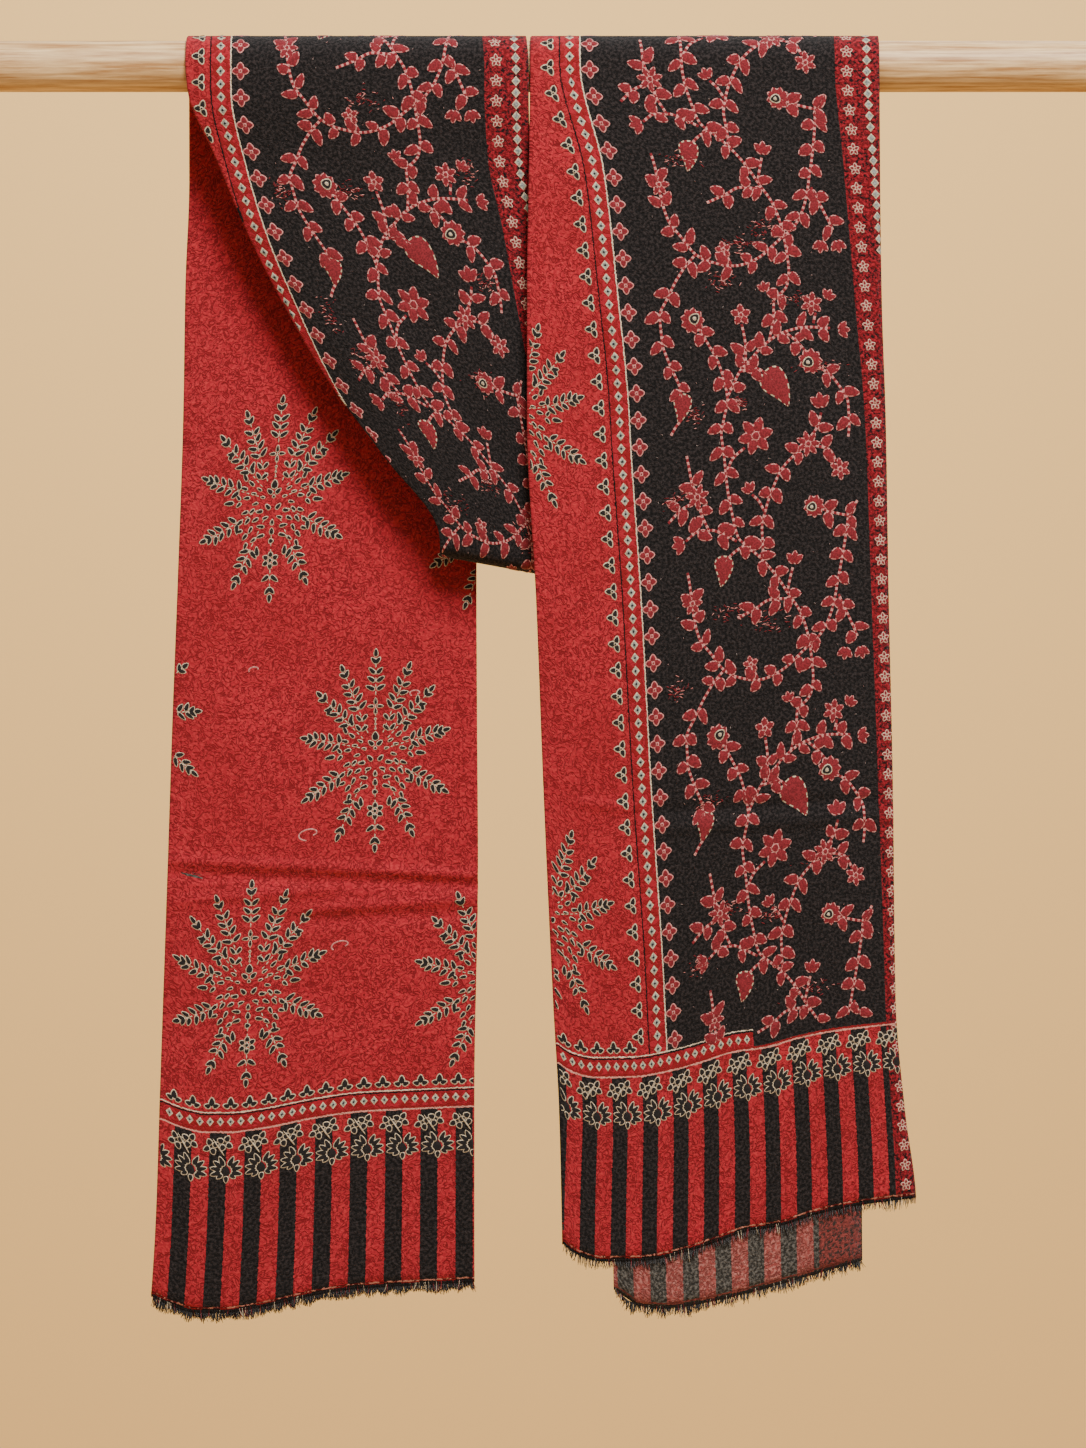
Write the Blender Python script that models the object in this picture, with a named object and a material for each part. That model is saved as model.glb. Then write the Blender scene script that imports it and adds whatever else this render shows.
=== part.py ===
"""A wool stole folded lengthwise into four layers and slung twice over a round wooden rod.

Metres, +Z up, seen from -Y. The origin is on the rod's axis at the middle of its length. The packet of four
layers starts at the hem of the front tail, climbs over the right half of the rod, falls behind it, turns
through a hanging loop to the left, climbs over the left half of the rod and falls behind it as the back tail.
"""

import math
from collections import namedtuple

import bpy
import numpy as np

for old in list(bpy.data.objects):
    bpy.data.objects.remove(old, do_unlink=True)

ROD_RADIUS = 0.014
ROD_LENGTH = 0.660
ROD_SIDES = 48
ROD_EDGE = 0.0008  # the small round on the rod's sawn ends

LAYER = 0.0010  # thickness of one layer of cloth
PITCH = 0.0013  # from the middle of one layer to the middle of the next
ROD_GAP = 0.0005  # innermost layer to rod
PACKET = 1.5 * PITCH + LAYER / 2  # half the thickness of the four layers together
OVER_ROD = ROD_RADIUS + ROD_GAP + PACKET  # radius of the packet's middle over the rod
LOOP_RADIUS = 0.008  # radius of the packet's middle at the bottom of the hanging loop
LOOP_LEVEL = -0.2685  # height of the centre that the loop turns about

ROD_STEPS = 10  # facets of each turn over the rod
LOOP_STEPS = 6
TAIL_STEPS = 11
STRAND_STEPS = 6
COLUMNS = 5  # inner columns of each layer
OUTER_FOLD_STEPS = 4
INNER_FOLD_STEPS = 2

FRINGE_GAP = 0.0003
FRINGE_STRIP = 0.0012  # height of the strip that the strands grow from
STRANDS_PER_STATION = 4  # between two columns of the cloth, on each layer
FRINGE_ROOT = 0.0012  # width of a strand where it leaves the strip
FRINGE_SHORTEST = 0.0032
FRINGE_LONGEST = 0.0056
FRINGE_SWAY = 0.0014  # how far a tip may swing sideways

# Each table runs along the cloth. A row is one level of the packet's middle. slant is how far its right end
# lies above its left end. turned_left and turned_right are how far back, along +Y, its edges are turned.
Level = namedtuple("Level", "height left right depth slant turned_left turned_right")
FRONT_TAIL = (
    # height   left     right    depth   slant  turned left and right
    (-0.7100, 0.0115, 0.2070, -0.0172, 0.0000, 0.0000, 0.0030),
    (-0.6200, 0.0100, 0.2050, -0.0172, 0.0000, 0.0010, 0.0035),
    (-0.5730, 0.0088, 0.1990, -0.0174, 0.0000, 0.0020, 0.0040),
    (-0.5130, 0.0055, 0.1938, -0.0178, 0.0000, 0.0025, 0.0040),
    (-0.3920, 0.0000, 0.1922, -0.0186, 0.0000, 0.0030, 0.0050),
    (-0.2930, -0.0038, 0.1900, -0.0192, 0.0000, 0.0020, 0.0060),
    (-0.1940, -0.0088, 0.1883, -0.0194, 0.0000, 0.0010, 0.0050),
    (-0.1280, -0.0088, 0.1861, -0.0192, 0.0000, 0.0000, 0.0030),
    (-0.0600, -0.0078, 0.1852, -0.0184, 0.0000, 0.0000, 0.0010),
)
BACK_STRAND = (
    (-0.0600, -0.0085, 0.1580, 0.0132, 0.0000, 0.0000, 0.0000),
    (-0.1280, -0.0258, 0.1180, 0.0104, -0.0020, 0.0010, -0.0010),
    (-0.2000, -0.0420, 0.0770, 0.0086, -0.0080, 0.0020, -0.0030),
)
FRONT_STRAND = (
    (-0.2187, -0.0885, 0.0260, -0.0088, -0.0120, 0.0030, 0.0000),
    (-0.1762, -0.1175, 0.0150, -0.0096, -0.0060, 0.0070, 0.0000),
    (-0.1312, -0.1427, 0.0080, -0.0100, -0.0020, 0.0075, 0.0000),
    (-0.0906, -0.1625, 0.0020, -0.0106, 0.0000, 0.0060, 0.0000),
    (-0.0505, -0.1795, -0.0055, -0.0122, 0.0000, 0.0035, 0.0000),
    (-0.0154, -0.1942, -0.0065, -0.0158, 0.0000, 0.0010, 0.0000),
)
BACK_TAIL = (
    (-0.0600, -0.1954, -0.0160, 0.0176, 0.0000, 0.0000, 0.0000),
    (-0.1200, -0.1976, -0.0225, 0.0184, 0.0000, 0.0000, 0.0000),
    (-0.1890, -0.1987, -0.0280, 0.0186, 0.0000, -0.0005, 0.0000),
    (-0.2770, -0.2015, -0.0335, 0.0184, 0.0000, -0.0020, -0.0010),
    (-0.3680, -0.2048, -0.0330, 0.0176, 0.0000, -0.0030, -0.0020),
    (-0.4380, -0.2070, -0.0325, 0.0168, 0.0000, -0.0030, -0.0020),
    (-0.5670, -0.2114, -0.0345, 0.0158, 0.0000, -0.0020, -0.0010),
    (-0.6330, -0.2136, -0.0345, 0.0154, 0.0000, -0.0010, 0.0000),
    (-0.7200, -0.2195, -0.0340, 0.0152, 0.0000, 0.0000, 0.0000),
)
# x of the left fold and of the right edge where the packet crosses the rod
RIGHT_CROSSING = (-0.0071, 0.1850)
LEFT_CROSSING = (-0.1954, -0.0065)
LOOP_ENDS = (-0.0565, 0.0400)
LOOP_SLANT = -0.0180
LOOP_TURNED = (0.0020, 0.0)
CLOTH_WIDTH = RIGHT_CROSSING[1] - RIGHT_CROSSING[0]  # of the folded packet
TURN_REACH = 0.4  # share of the width over which an edge turns back

# Heights of each layer's cut edge across the front tail: share of the width, and z. The four layers are
# named from the face inwards, and neighbours agree where a fold joins them.
FRONT_HEMS = {
    "outer": ((0.00, -0.6450), (0.11, -0.6545), (0.35, -0.6480), (0.60, -0.6370), (1.00, -0.6200)),
    "second": ((0.14, -0.6700), (0.27, -0.6800), (0.41, -0.6760), (0.84, -0.6540)),
    "third": ((0.14, -0.6700), (0.84, -0.6540)),
    "inner": ((0.00, -0.6450), (0.84, -0.6540)),
}
BACK_HEM = (
    (0.00, -0.6770), (0.07, -0.6820), (0.14, -0.6860), (0.22, -0.6860), (0.33, -0.6830),
    (0.48, -0.6770), (0.62, -0.6725), (0.78, -0.6710), (1.00, -0.6690),
)
# Where the inner layers begin and end: share of the width over most of the length, and at the front hem
INNER_RIGHT = 0.985
HEM_INNER_LEFT = 0.14
HEM_INNER_RIGHT = 0.84
DRAWN_FROM, DRAWN_TO = -0.250, -0.660  # heights between which the inner layers draw in
STATIONS = [*np.linspace(0, INNER_RIGHT, COLUMNS + 2)]  # shares of the width at the cloth's columns

RED_WOOL = (0.36, 0.028, 0.027)
DARK_YARN = (0.035, 0.022, 0.020)
PALE_BEECH = (0.72, 0.50, 0.30)


def material(name, colour, roughness):
    """A plain non-metal finish."""
    made = bpy.data.materials.new(name)
    made.use_nodes = True
    shader = made.node_tree.nodes["Principled BSDF"]
    shader.inputs["Base Color"].default_value = (*colour, 1.0)
    shader.inputs["Roughness"].default_value = roughness
    made.diffuse_color = (*colour, 1.0)
    return made


def add_object(name, points, faces, finish):
    mesh = bpy.data.meshes.new(name)
    mesh.from_pydata([tuple(point) for point in points], [], faces)
    mesh.validate()
    mesh.materials.append(finish)
    made = bpy.data.objects.new(name, mesh)
    bpy.context.scene.collection.objects.link(made)
    return made


def half_turn(radius, level, ends, slant, turned, start, steps):
    """Levels of a half turn about an axis along X, from an angle measured from -Y over +Z."""
    turn = []
    for angle in np.linspace(start, start + math.pi, steps + 1):
        height = level + radius * math.sin(angle)
        depth = -radius * math.cos(angle)
        turn.append(Level(height, *ends, depth, slant, *turned))
    return turn


def over_rod(crossing):
    return half_turn(OVER_ROD, 0.0, crossing, 0.0, (0.0, 0.0), 0.0, ROD_STEPS)


def around_loop():
    return half_turn(LOOP_RADIUS, LOOP_LEVEL, LOOP_ENDS, LOOP_SLANT, LOOP_TURNED, math.pi, LOOP_STEPS)


def monotone_slopes(ways, values):
    """Slopes of a smooth curve through the rows that never overshoots them."""
    steps = np.diff(ways)[:, None]
    rises = np.diff(values, axis=0) / steps
    before, after = rises[:-1], rises[1:]
    same_way = before * after > 0
    weight_before = 2 * steps[1:] + steps[:-1]
    weight_after = steps[1:] + 2 * steps[:-1]
    safe_before = np.where(same_way, before, 1.0)
    safe_after = np.where(same_way, after, 1.0)
    mean = (weight_before + weight_after) / (weight_before / safe_before + weight_after / safe_after)
    slopes = np.zeros_like(values)
    slopes[1:-1] = np.where(same_way, mean, 0.0)
    slopes[0], slopes[-1] = rises[0], rises[-1]
    return slopes


STRETCHES = (
    FRONT_TAIL, over_rod(RIGHT_CROSSING), BACK_STRAND, around_loop(), FRONT_STRAND, over_rod(LEFT_CROSSING),
    BACK_TAIL,
)
ROWS = np.concatenate([np.array(stretch) for stretch in STRETCHES])
HEIGHTS, DEPTHS = ROWS[:, Level._fields.index("height")], ROWS[:, Level._fields.index("depth")]
# Distance of each row along the cloth, from beyond the front hem, and where the turns begin and end
WAYS = np.concatenate([[0.0], np.cumsum(np.hypot(np.diff(HEIGHTS), np.diff(DEPTHS)))])
SLOPES = monotone_slopes(WAYS, ROWS)
FIRST_ROWS = np.cumsum([0, *(len(stretch) for stretch in STRETCHES)])
FRONT_ROD, LOOP_IN, SECOND_ROD = WAYS[FIRST_ROWS[[1, 3, 5]]]
BACK_ROD, LOOP_OUT, TAIL_ROD = WAYS[FIRST_ROWS[[2, 4, 6]] - 1]


def levels(way):
    """The rows' columns at any distance along the cloth, by cubic curves between the rows."""
    way = np.clip(way, WAYS[0], WAYS[-1])
    place = np.clip(np.searchsorted(WAYS, way, side="right") - 1, 0, len(WAYS) - 2)
    step = WAYS[place + 1] - WAYS[place]
    share = ((way - WAYS[place]) / step)[..., None]
    step = step[..., None]
    low, high = ROWS[place], ROWS[place + 1]
    value = low * (1 + 2 * share) * (1 - share) ** 2 + high * share**2 * (3 - 2 * share)
    value += SLOPES[place] * step * share * (1 - share) ** 2
    value -= SLOPES[place + 1] * step * share**2 * (1 - share)
    return Level(*np.moveaxis(value, -1, 0))


def middle(way, across):
    """A point on the packet's middle: across runs from 0 at the left fold to 1 at the right edge."""
    level = levels(way)
    back = level.turned_left * np.clip(1 - across / TURN_REACH, 0, None) ** 2
    back += level.turned_right * np.clip(1 - (1 - across) / TURN_REACH, 0, None) ** 2
    sideways = level.left + (level.right - level.left) * across
    return np.stack([sideways, level.depth + back, level.height + level.slant * (across - 0.5)], axis=-1)


NEARBY_WAY = 0.0004  # steps to each side of a point that give the packet's normal there
NEARBY_SHARE = 0.01


def on_packet(way, across, outwards):
    """A point that stands outwards from the packet's middle along its normal."""
    along = middle(way + NEARBY_WAY, across) - middle(way - NEARBY_WAY, across)
    sideways = middle(way, across + NEARBY_SHARE) - middle(way, across - NEARBY_SHARE)
    normal = np.cross(sideways, along)
    normal /= np.linalg.norm(normal, axis=-1, keepdims=True)
    return middle(way, across) + normal * np.asarray(outwards)[..., None]


def way_at(height, tail):
    """The distance along the cloth at a height of one tail."""
    stretch = 0 if tail == "front" else len(STRETCHES) - 1
    rows = slice(FIRST_ROWS[stretch], FIRST_ROWS[stretch + 1])
    order = np.argsort(HEIGHTS[rows])
    return np.interp(height, HEIGHTS[rows][order], WAYS[rows][order])


def drawn_shares(layers, shares, amount):
    """Shares of the width with the inner layers drawn in, by an amount that is 1 at the front hem."""
    low = np.where(np.isin(layers, ("second", "third")), HEM_INNER_LEFT, 0.0)
    high = np.where(np.isin(layers, ("second", "third", "inner")), HEM_INNER_RIGHT / INNER_RIGHT, 1.0)
    hem = low + shares * (high - low)
    return shares + (hem - shares) * amount


def hem_ways(tail, layer, share):
    """How far along the cloth the cut edge of a layer lies: straight between the cloth's own stations."""
    stations = np.array([*STATIONS, 1.0])
    if tail == "front":
        table = np.array(FRONT_HEMS[layer])
        heights = np.interp(drawn_shares(layer, stations, 1.0), table[:, 0], table[:, 1])
    else:
        table = np.array(BACK_HEM)
        heights = np.interp(stations, table[:, 0], table[:, 1])
    return np.interp(share, stations, way_at(heights, tail))


# A point of a cross-section's middle line: its layer and share of the width, how far a fold's own curve
# takes it to the right, its distance out from the packet's middle, and the way to the layer's first side.
Turn = namedtuple("Turn", "layer share rightwards outwards side_right side_out")


def run(layer, shares, outwards, side):
    """The straight part of one layer."""
    return [Turn(layer, share, 0.0, outwards, 0.0, side) for share in shares]


def fold(layer, share, centre, radius, hand, steps):
    """The inner points of a half circle that joins two layers: hand is -1 at the left and 1 at the right."""
    points = []
    for angle in np.linspace(0, math.pi, steps + 1)[1:-1]:
        right, out = hand * math.sin(angle), -hand * math.cos(angle)
        points.append(Turn(layer, share, radius * right, centre + radius * out, right, out))
    return points


def fold_course(stations):
    """The back-and-forth middle line of one cross-section, from the outer layer's free edge to the second's.

    stations are shares of the width between the left and the right fold.
    """
    outer, small = 1.5 * PITCH, 0.5 * PITCH
    course = run("outer", [1.0, *stations[::-1]], outer, 1.0)
    course += fold("outer", stations[0], 0.0, outer, -1, OUTER_FOLD_STEPS)
    course += run("inner", stations, -outer, -1.0)
    course += fold("third", stations[-1], -PITCH, small, 1, INNER_FOLD_STEPS)
    course += run("third", stations[::-1], -small, 1.0)
    turned = fold("third", stations[0], 0.0, small, 1, INNER_FOLD_STEPS)
    course += [point._replace(rightwards=-point.rightwards) for point in turned]
    course += run("second", stations, small, -1.0)
    return course


def course_shares(course, amount):
    layers = np.array([point.layer for point in course])
    return drawn_shares(layers, np.array([point.share for point in course]), amount)


def course_sides(course, ways, shares):
    """The two faces of the cloth along one course, in space."""
    offsets = np.array([point[2:] for point in course]).T
    rightwards, outwards, side_right, side_out = offsets
    widths = levels(ways).right - levels(ways).left
    inset = PACKET * (1 - 2 * shares)
    sides = []
    for half in (LAYER / 2, -LAYER / 2):
        right = rightwards + inset + half * side_right
        sides.append(on_packet(ways, shares + right / widths, outwards + half * side_out))
    return sides


def section_ways(course, tail, share):
    """Distances along the cloth of a cross-section in a tail: share 0 at the cut edge, 1 at the rod."""
    ends = np.array([hem_ways(tail, point.layer, point.share) for point in course])
    top = FRONT_ROD if tail == "front" else TAIL_ROD
    return ends + (top - ends) * share


def drawn_in(ways):
    """How far the inner layers are drawn in: 1 at the front hem, 0 from part of the way up."""
    top, bottom = way_at(DRAWN_FROM, "front"), way_at(DRAWN_TO, "front")
    share = np.clip((top - ways) / (top - bottom), 0, 1)
    return share * share * (3 - 2 * share)


def stole():
    """One closed skin over the folded cross-sections, from hem to hem."""
    course = fold_course(STATIONS)
    count = len(course)
    sections = [section_ways(course, "front", share) for share in np.linspace(0, 1, TAIL_STEPS + 1)[:-1]]
    for start, stop, steps in (
        (FRONT_ROD, BACK_ROD, ROD_STEPS),
        (BACK_ROD, LOOP_IN, STRAND_STEPS),
        (LOOP_IN, LOOP_OUT, LOOP_STEPS),
        (LOOP_OUT, SECOND_ROD, STRAND_STEPS),
        (SECOND_ROD, TAIL_ROD, ROD_STEPS),
    ):
        sections += [np.full(count, way) for way in np.linspace(start, stop, steps + 1)[:-1]]
    sections += [section_ways(course, "back", share) for share in np.linspace(1, 0, TAIL_STEPS + 1)]

    rings = []
    for ways in sections:
        near, far = course_sides(course, ways, course_shares(course, drawn_in(ways)))
        rings.append(np.concatenate([near, far[::-1]]))
    points = np.concatenate(rings)
    around = 2 * count
    faces = []
    for ring in range(len(rings) - 1):
        low, high = ring * around, (ring + 1) * around
        for step in range(around):
            after = (step + 1) % around
            faces.append((low + step, high + step, high + after, low + after))
    last = (len(rings) - 1) * around
    for step in range(count - 1):
        near, far = step, around - 1 - step
        faces.append((near, near + 1, far - 1, far))
        faces.append((last + near, last + far, last + far - 1, last + near + 1))
    return add_object("stole", points, faces, material("red wool twill", RED_WOOL, 0.9))


ROOT_SHARE = FRINGE_ROOT / CLOTH_WIDTH


def strand_stations():
    """Shares of the width where strands begin and end, evenly spaced between the cloth's own stations."""
    shares = [STATIONS[0]]
    for start, stop in zip(STATIONS[:-1], STATIONS[1:]):
        pitch = (stop - start) / STRANDS_PER_STATION
        for strand in range(STRANDS_PER_STATION):
            centre = start + (strand + 0.5) * pitch
            shares += [centre - ROOT_SHARE / 2, centre + ROOT_SHARE / 2]
        shares.append(stop)
    return shares


def fringe(tail, seed):
    """The frayed ends of one hem: a strip that follows the folds, with a tapered strand at each pitch."""
    chance = np.random.default_rng(seed)
    course = fold_course(strand_stations())
    count = len(course)
    shares = course_shares(course, 1.0 if tail == "front" else 0.0)
    hems = section_ways(course, tail, 0.0)
    onwards = -1.0 if tail == "front" else 1.0
    upper = course_sides(course, hems + onwards * FRINGE_GAP, shares)
    lower = course_sides(course, hems + onwards * (FRINGE_GAP + FRINGE_STRIP), shares)
    tips = chance.uniform(FRINGE_SHORTEST, FRINGE_LONGEST, count)
    sway = chance.uniform(-FRINGE_SWAY, FRINGE_SWAY, count)
    drop = onwards * (FRINGE_GAP + FRINGE_STRIP + tips)
    tip_sides = course_sides(course, hems + drop, shares)
    tip_points = (tip_sides[0] + tip_sides[1]) / 2
    tip_points[:, 0] += sway

    points = list(np.concatenate([upper[0], upper[1], lower[0], lower[1]]))
    up_near, up_far, low_near, low_far = (index * count for index in range(4))
    faces = []
    for step in range(count - 1):
        after = step + 1
        faces.append((up_near + step, up_near + after, up_far + after, up_far + step))
        faces.append((low_near + step, low_near + after, up_near + after, up_near + step))
        faces.append((up_far + step, up_far + after, low_far + after, low_far + step))
        base = (low_far + step, low_far + after, low_near + after, low_near + step)
        here, there = course[step], course[after]
        flat = here.layer == there.layer and here.side_right == there.side_right == 0.0
        if not flat or not math.isclose(abs(here.share - there.share), ROOT_SHARE):
            faces.append(base)
            continue
        tip = len(points)
        points.append((tip_points[step] + tip_points[after]) / 2)
        for corner in range(4):
            faces.append((base[corner], base[(corner + 1) % 4], tip))
    for step in (0, count - 1):
        end = (up_near + step, up_far + step, low_far + step, low_near + step)
        faces.append(end if step == 0 else end[::-1])
    if tail == "front":
        faces = [face[::-1] for face in faces]
    return add_object(f"fringe_{tail}", points, faces, material("dark frayed yarn", DARK_YARN, 0.95))


def rod():
    """A turned dowel along X with softly rounded ends, which stay flat over most of their face."""
    profile = (
        (-ROD_LENGTH / 2, ROD_RADIUS - ROD_EDGE),
        (-ROD_LENGTH / 2 + ROD_EDGE, ROD_RADIUS),
        (ROD_LENGTH / 2 - ROD_EDGE, ROD_RADIUS),
        (ROD_LENGTH / 2, ROD_RADIUS - ROD_EDGE),
    )
    angles = np.arange(ROD_SIDES) * 2 * math.pi / ROD_SIDES
    points = [
        (x, radius * math.cos(angle), radius * math.sin(angle)) for x, radius in profile for angle in angles
    ]
    faces = []
    for ring in range(len(profile) - 1):
        low, high = ring * ROD_SIDES, (ring + 1) * ROD_SIDES
        for side in range(ROD_SIDES):
            after = (side + 1) % ROD_SIDES
            faces.append((low + side, low + after, high + after, high + side))
    faces.append(tuple(range(ROD_SIDES))[::-1])
    faces.append(tuple(range((len(profile) - 1) * ROD_SIDES, len(profile) * ROD_SIDES)))
    made = add_object("rod", points, faces, material("pale beech", PALE_BEECH, 0.55))
    made.data.shade_smooth()
    made.data.set_sharp_from_angle(angle=math.radians(30))
    return made


rod()
stole()
fringe("front", seed=3)
fringe("back", seed=5)
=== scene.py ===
"""The looks of an embroidered wool stole, folded into four layers and slung twice over a wooden rod.

Metres, +Z up, seen from -Y, with the origin on the rod's axis. A point of the flat cloth is given by how far
it lies from one selvedge and from the front hem.
"""

import math
from collections import namedtuple

import bpy
import numpy as np
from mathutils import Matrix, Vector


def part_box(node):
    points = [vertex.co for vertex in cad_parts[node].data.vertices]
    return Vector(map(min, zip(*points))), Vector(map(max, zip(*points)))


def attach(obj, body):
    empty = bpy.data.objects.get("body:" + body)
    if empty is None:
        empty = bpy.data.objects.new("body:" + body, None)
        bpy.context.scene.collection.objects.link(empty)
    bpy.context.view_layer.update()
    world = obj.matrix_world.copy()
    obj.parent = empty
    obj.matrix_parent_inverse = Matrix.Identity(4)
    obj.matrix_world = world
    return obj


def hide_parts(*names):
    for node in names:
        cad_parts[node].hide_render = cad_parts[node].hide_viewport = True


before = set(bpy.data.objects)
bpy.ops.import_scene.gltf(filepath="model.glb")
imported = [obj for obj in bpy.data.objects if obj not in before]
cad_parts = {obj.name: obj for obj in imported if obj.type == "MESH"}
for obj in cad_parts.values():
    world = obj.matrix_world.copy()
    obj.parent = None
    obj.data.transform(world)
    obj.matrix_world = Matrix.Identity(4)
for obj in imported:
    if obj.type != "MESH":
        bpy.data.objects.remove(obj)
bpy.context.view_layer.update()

# Camera: a long lens, level and square to the rod, as the cloth's edges look straight in the photo. The
# height that the frame spans is given at the rod, and the camera's distance follows from it and the lens.
MM = 0.001
VIEW_HEIGHT = 795 * MM  # what the frame spans at the rod
VIEW_CENTRE = -361 * MM
LENS, FILM = 135.0, 36.0  # millimetres

camera = bpy.data.objects.new("camera", bpy.data.cameras.new("camera"))
camera.data.sensor_fit = "VERTICAL"
camera.data.sensor_height = FILM
camera.data.lens = LENS
camera.location = (0.0, -VIEW_HEIGHT * LENS / FILM, VIEW_CENTRE)
camera.rotation_euler = (math.pi / 2, 0.0, 0.0)
bpy.context.scene.collection.objects.link(camera)
bpy.context.scene.camera = camera


# Studio: a sheet of pale tan paper, curved from the floor up to the wall, and four soft lamps. The key stands
# high in front, the fill is weak and at the left, the wash lights the paper, and the rear lamp the back.
def hex_colour(code):
    """An sRGB hex value as linear red, green, blue and alpha: each channel by the sRGB curve."""
    channels = np.array([int(code[at : at + 2], 16) for at in (1, 3, 5)]) / 255
    linear = np.where(channels <= 0.04045, channels / 12.92, ((channels + 0.055) / 1.055) ** 2.4)
    return (*linear.tolist(), 1.0)


def add(tree, kind, inputs, **settings):
    """A node with its settings. An input takes a value, a node's first output, or (node, output)."""
    made = tree.nodes.new("ShaderNode" + kind)
    for name, value in settings.items():
        setattr(made, name, value)
    for socket, value in inputs.items():
        source = value if isinstance(value, tuple) and isinstance(value[0], bpy.types.Node) else (value, 0)
        if isinstance(source[0], bpy.types.Node):
            tree.links.new(source[0].outputs[source[1]], made.inputs[socket])
        else:
            made.inputs[socket].default_value = value
    return made


def finish_named(name, roughness, sheen=0.0):
    """A new material named for its finish, with its node tree and its surface shader."""
    made = bpy.data.materials.new(name)
    made.use_nodes = True
    made.node_tree.nodes.clear()
    shader = add(made.node_tree, "BsdfPrincipled", {"Roughness": roughness, "Sheen Weight": sheen})
    add(made.node_tree, "OutputMaterial", {"Surface": shader})
    return made, made.node_tree, shader


def grid_faces(rows, columns):
    """Quads of a grid of rows x columns points, row by row, as one array."""
    corner = np.arange(rows * columns).reshape(rows, columns)
    quads = (corner[:-1, :-1], corner[:-1, 1:], corner[1:, 1:], corner[1:, :-1])
    return np.stack([quad.ravel() for quad in quads], axis=1)


def new_piece(name, points, faces, finishes, slots=None, uv=None):
    """An object of numpy points and faces. slots gives each face's finish, uv each point's place."""
    mesh = bpy.data.meshes.new(name)
    mesh.from_pydata(points.reshape(-1, 3), [], faces if isinstance(faces, list) else faces.tolist())
    for finish in finishes:
        mesh.materials.append(finish)
    if slots is not None:
        mesh.polygons.foreach_set("material_index", np.asarray(slots, np.int32))
    if uv is not None:
        corners = np.empty(len(mesh.loops), np.int32)
        mesh.loops.foreach_get("vertex_index", corners)
        layer = mesh.uv_layers.new(name="cloth")
        layer.data.foreach_set("uv", uv.reshape(-1, 2)[corners].astype(np.float32).ravel())
    mesh.shade_smooth()
    made = bpy.data.objects.new(name, mesh)
    bpy.context.scene.collection.objects.link(made)
    return made


FLOOR_LEVEL = -2.8
WALL_DEPTH = 5.4
SWEEP_RADIUS = 0.6
SWEEP_WIDTH = 18.0
SWEEP_FRONT, SWEEP_TOP = -6.0, 4.0
ROOM_LIGHT = 0.42  # strength of the even light from all round


def paper_sweep():
    """A profile of floor, quarter circle and wall, carried straight along X."""
    turn = np.linspace(0, math.pi / 2, 24)
    curve_y = WALL_DEPTH - SWEEP_RADIUS + SWEEP_RADIUS * np.sin(turn)
    curve_z = FLOOR_LEVEL + SWEEP_RADIUS - SWEEP_RADIUS * np.cos(turn)
    depth = np.concatenate([[SWEEP_FRONT], curve_y, [WALL_DEPTH]])
    height = np.concatenate([[FLOOR_LEVEL], curve_z, [SWEEP_TOP]])
    side = np.array([-SWEEP_WIDTH / 2, SWEEP_WIDTH / 2])
    x, y = np.meshgrid(side, depth, indexing="ij")
    points = np.stack([x, y, np.broadcast_to(height, x.shape)], axis=-1)
    return new_piece("paper_sweep", points, grid_faces(2, len(depth))[:, ::-1], [paper])


# Uncoated paper scatters its light evenly, so it looks flat and has no shine
paper, tree, shader = finish_named("matt tan paper", 0.95)
shader.inputs["Base Color"].default_value = hex_colour("#F2C67C")
paper_sweep()

# Lamps: place and aim in metres, side in metres and power in watts
for name, place, aim, size, power in (
    ("key", (0.75, -2.0, 2.1), (0.0, 0.0, -0.30), 1.2, 168),
    ("fill", (-2.4, -2.0, 0.2), (0.0, 0.0, -0.35), 2.2, 8),
    ("wash", (0.0, 3.0, 1.6), (0.0, WALL_DEPTH, -1.1), 2.6, 128),
    ("rear", (0.6, 2.2, 2.6), (0.0, 0.0, -0.35), 2.0, 34),
):
    lamp = bpy.data.objects.new(name, bpy.data.lights.new(name, "AREA"))
    lamp.data.size = size
    lamp.data.energy = power
    lamp.location = place
    away = np.array(aim) - np.array(place)
    tilt = math.acos(-away[2] / np.linalg.norm(away))
    lamp.rotation_euler = (tilt, 0.0, math.atan2(-away[0], away[1]))
    bpy.context.scene.collection.objects.link(lamp)
world = bpy.data.worlds.new("room")
world.use_nodes = True
world.node_tree.nodes["Background"].inputs["Color"].default_value = hex_colour("#EFE6DA")
world.node_tree.nodes["Background"].inputs["Strength"].default_value = ROOM_LIGHT
bpy.context.scene.world = world

# Rod: a turned dowel of pale beech, sanded smooth and oiled, that lies level with the stole slung over it.
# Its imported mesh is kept, and its grain runs along it.
GRAIN_WIDTH = 1.4 * MM
FLECK_LENGTH = 26 * MM

# Oil gives sanded beech a low sheen and deepens the streaks of its pores
beech, tree, shader = finish_named("oiled beech", 0.48)
place = add(tree, "TexCoord", {})
stretched = add(
    tree, "Mapping", {0: (place, "Object"), "Scale": (1 / FLECK_LENGTH, 1 / GRAIN_WIDTH, 1 / GRAIN_WIDTH)}
)
grain = add(tree, "TexNoise", {"Vector": stretched, "Scale": 0.55, "Detail": 6.0, "Roughness": 0.62})
tone = add(tree, "ValToRGB", {"Fac": grain})
for stop, at, code in zip((0, 1), (0.36, 0.64), ("#B5814A", "#F6CE92")):
    tone.color_ramp.elements[stop].position = at
    tone.color_ramp.elements[stop].color = hex_colour(code)
tree.links.new(tone.outputs[0], shader.inputs["Base Color"])
pores = add(tree, "Bump", {"Height": grain, "Strength": 0.25, "Distance": 0.2 * MM})
tree.links.new(pores.outputs[0], shader.inputs["Normal"])
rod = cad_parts["rod"]
rod.data.materials.clear()
rod.data.materials.append(beech)

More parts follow.
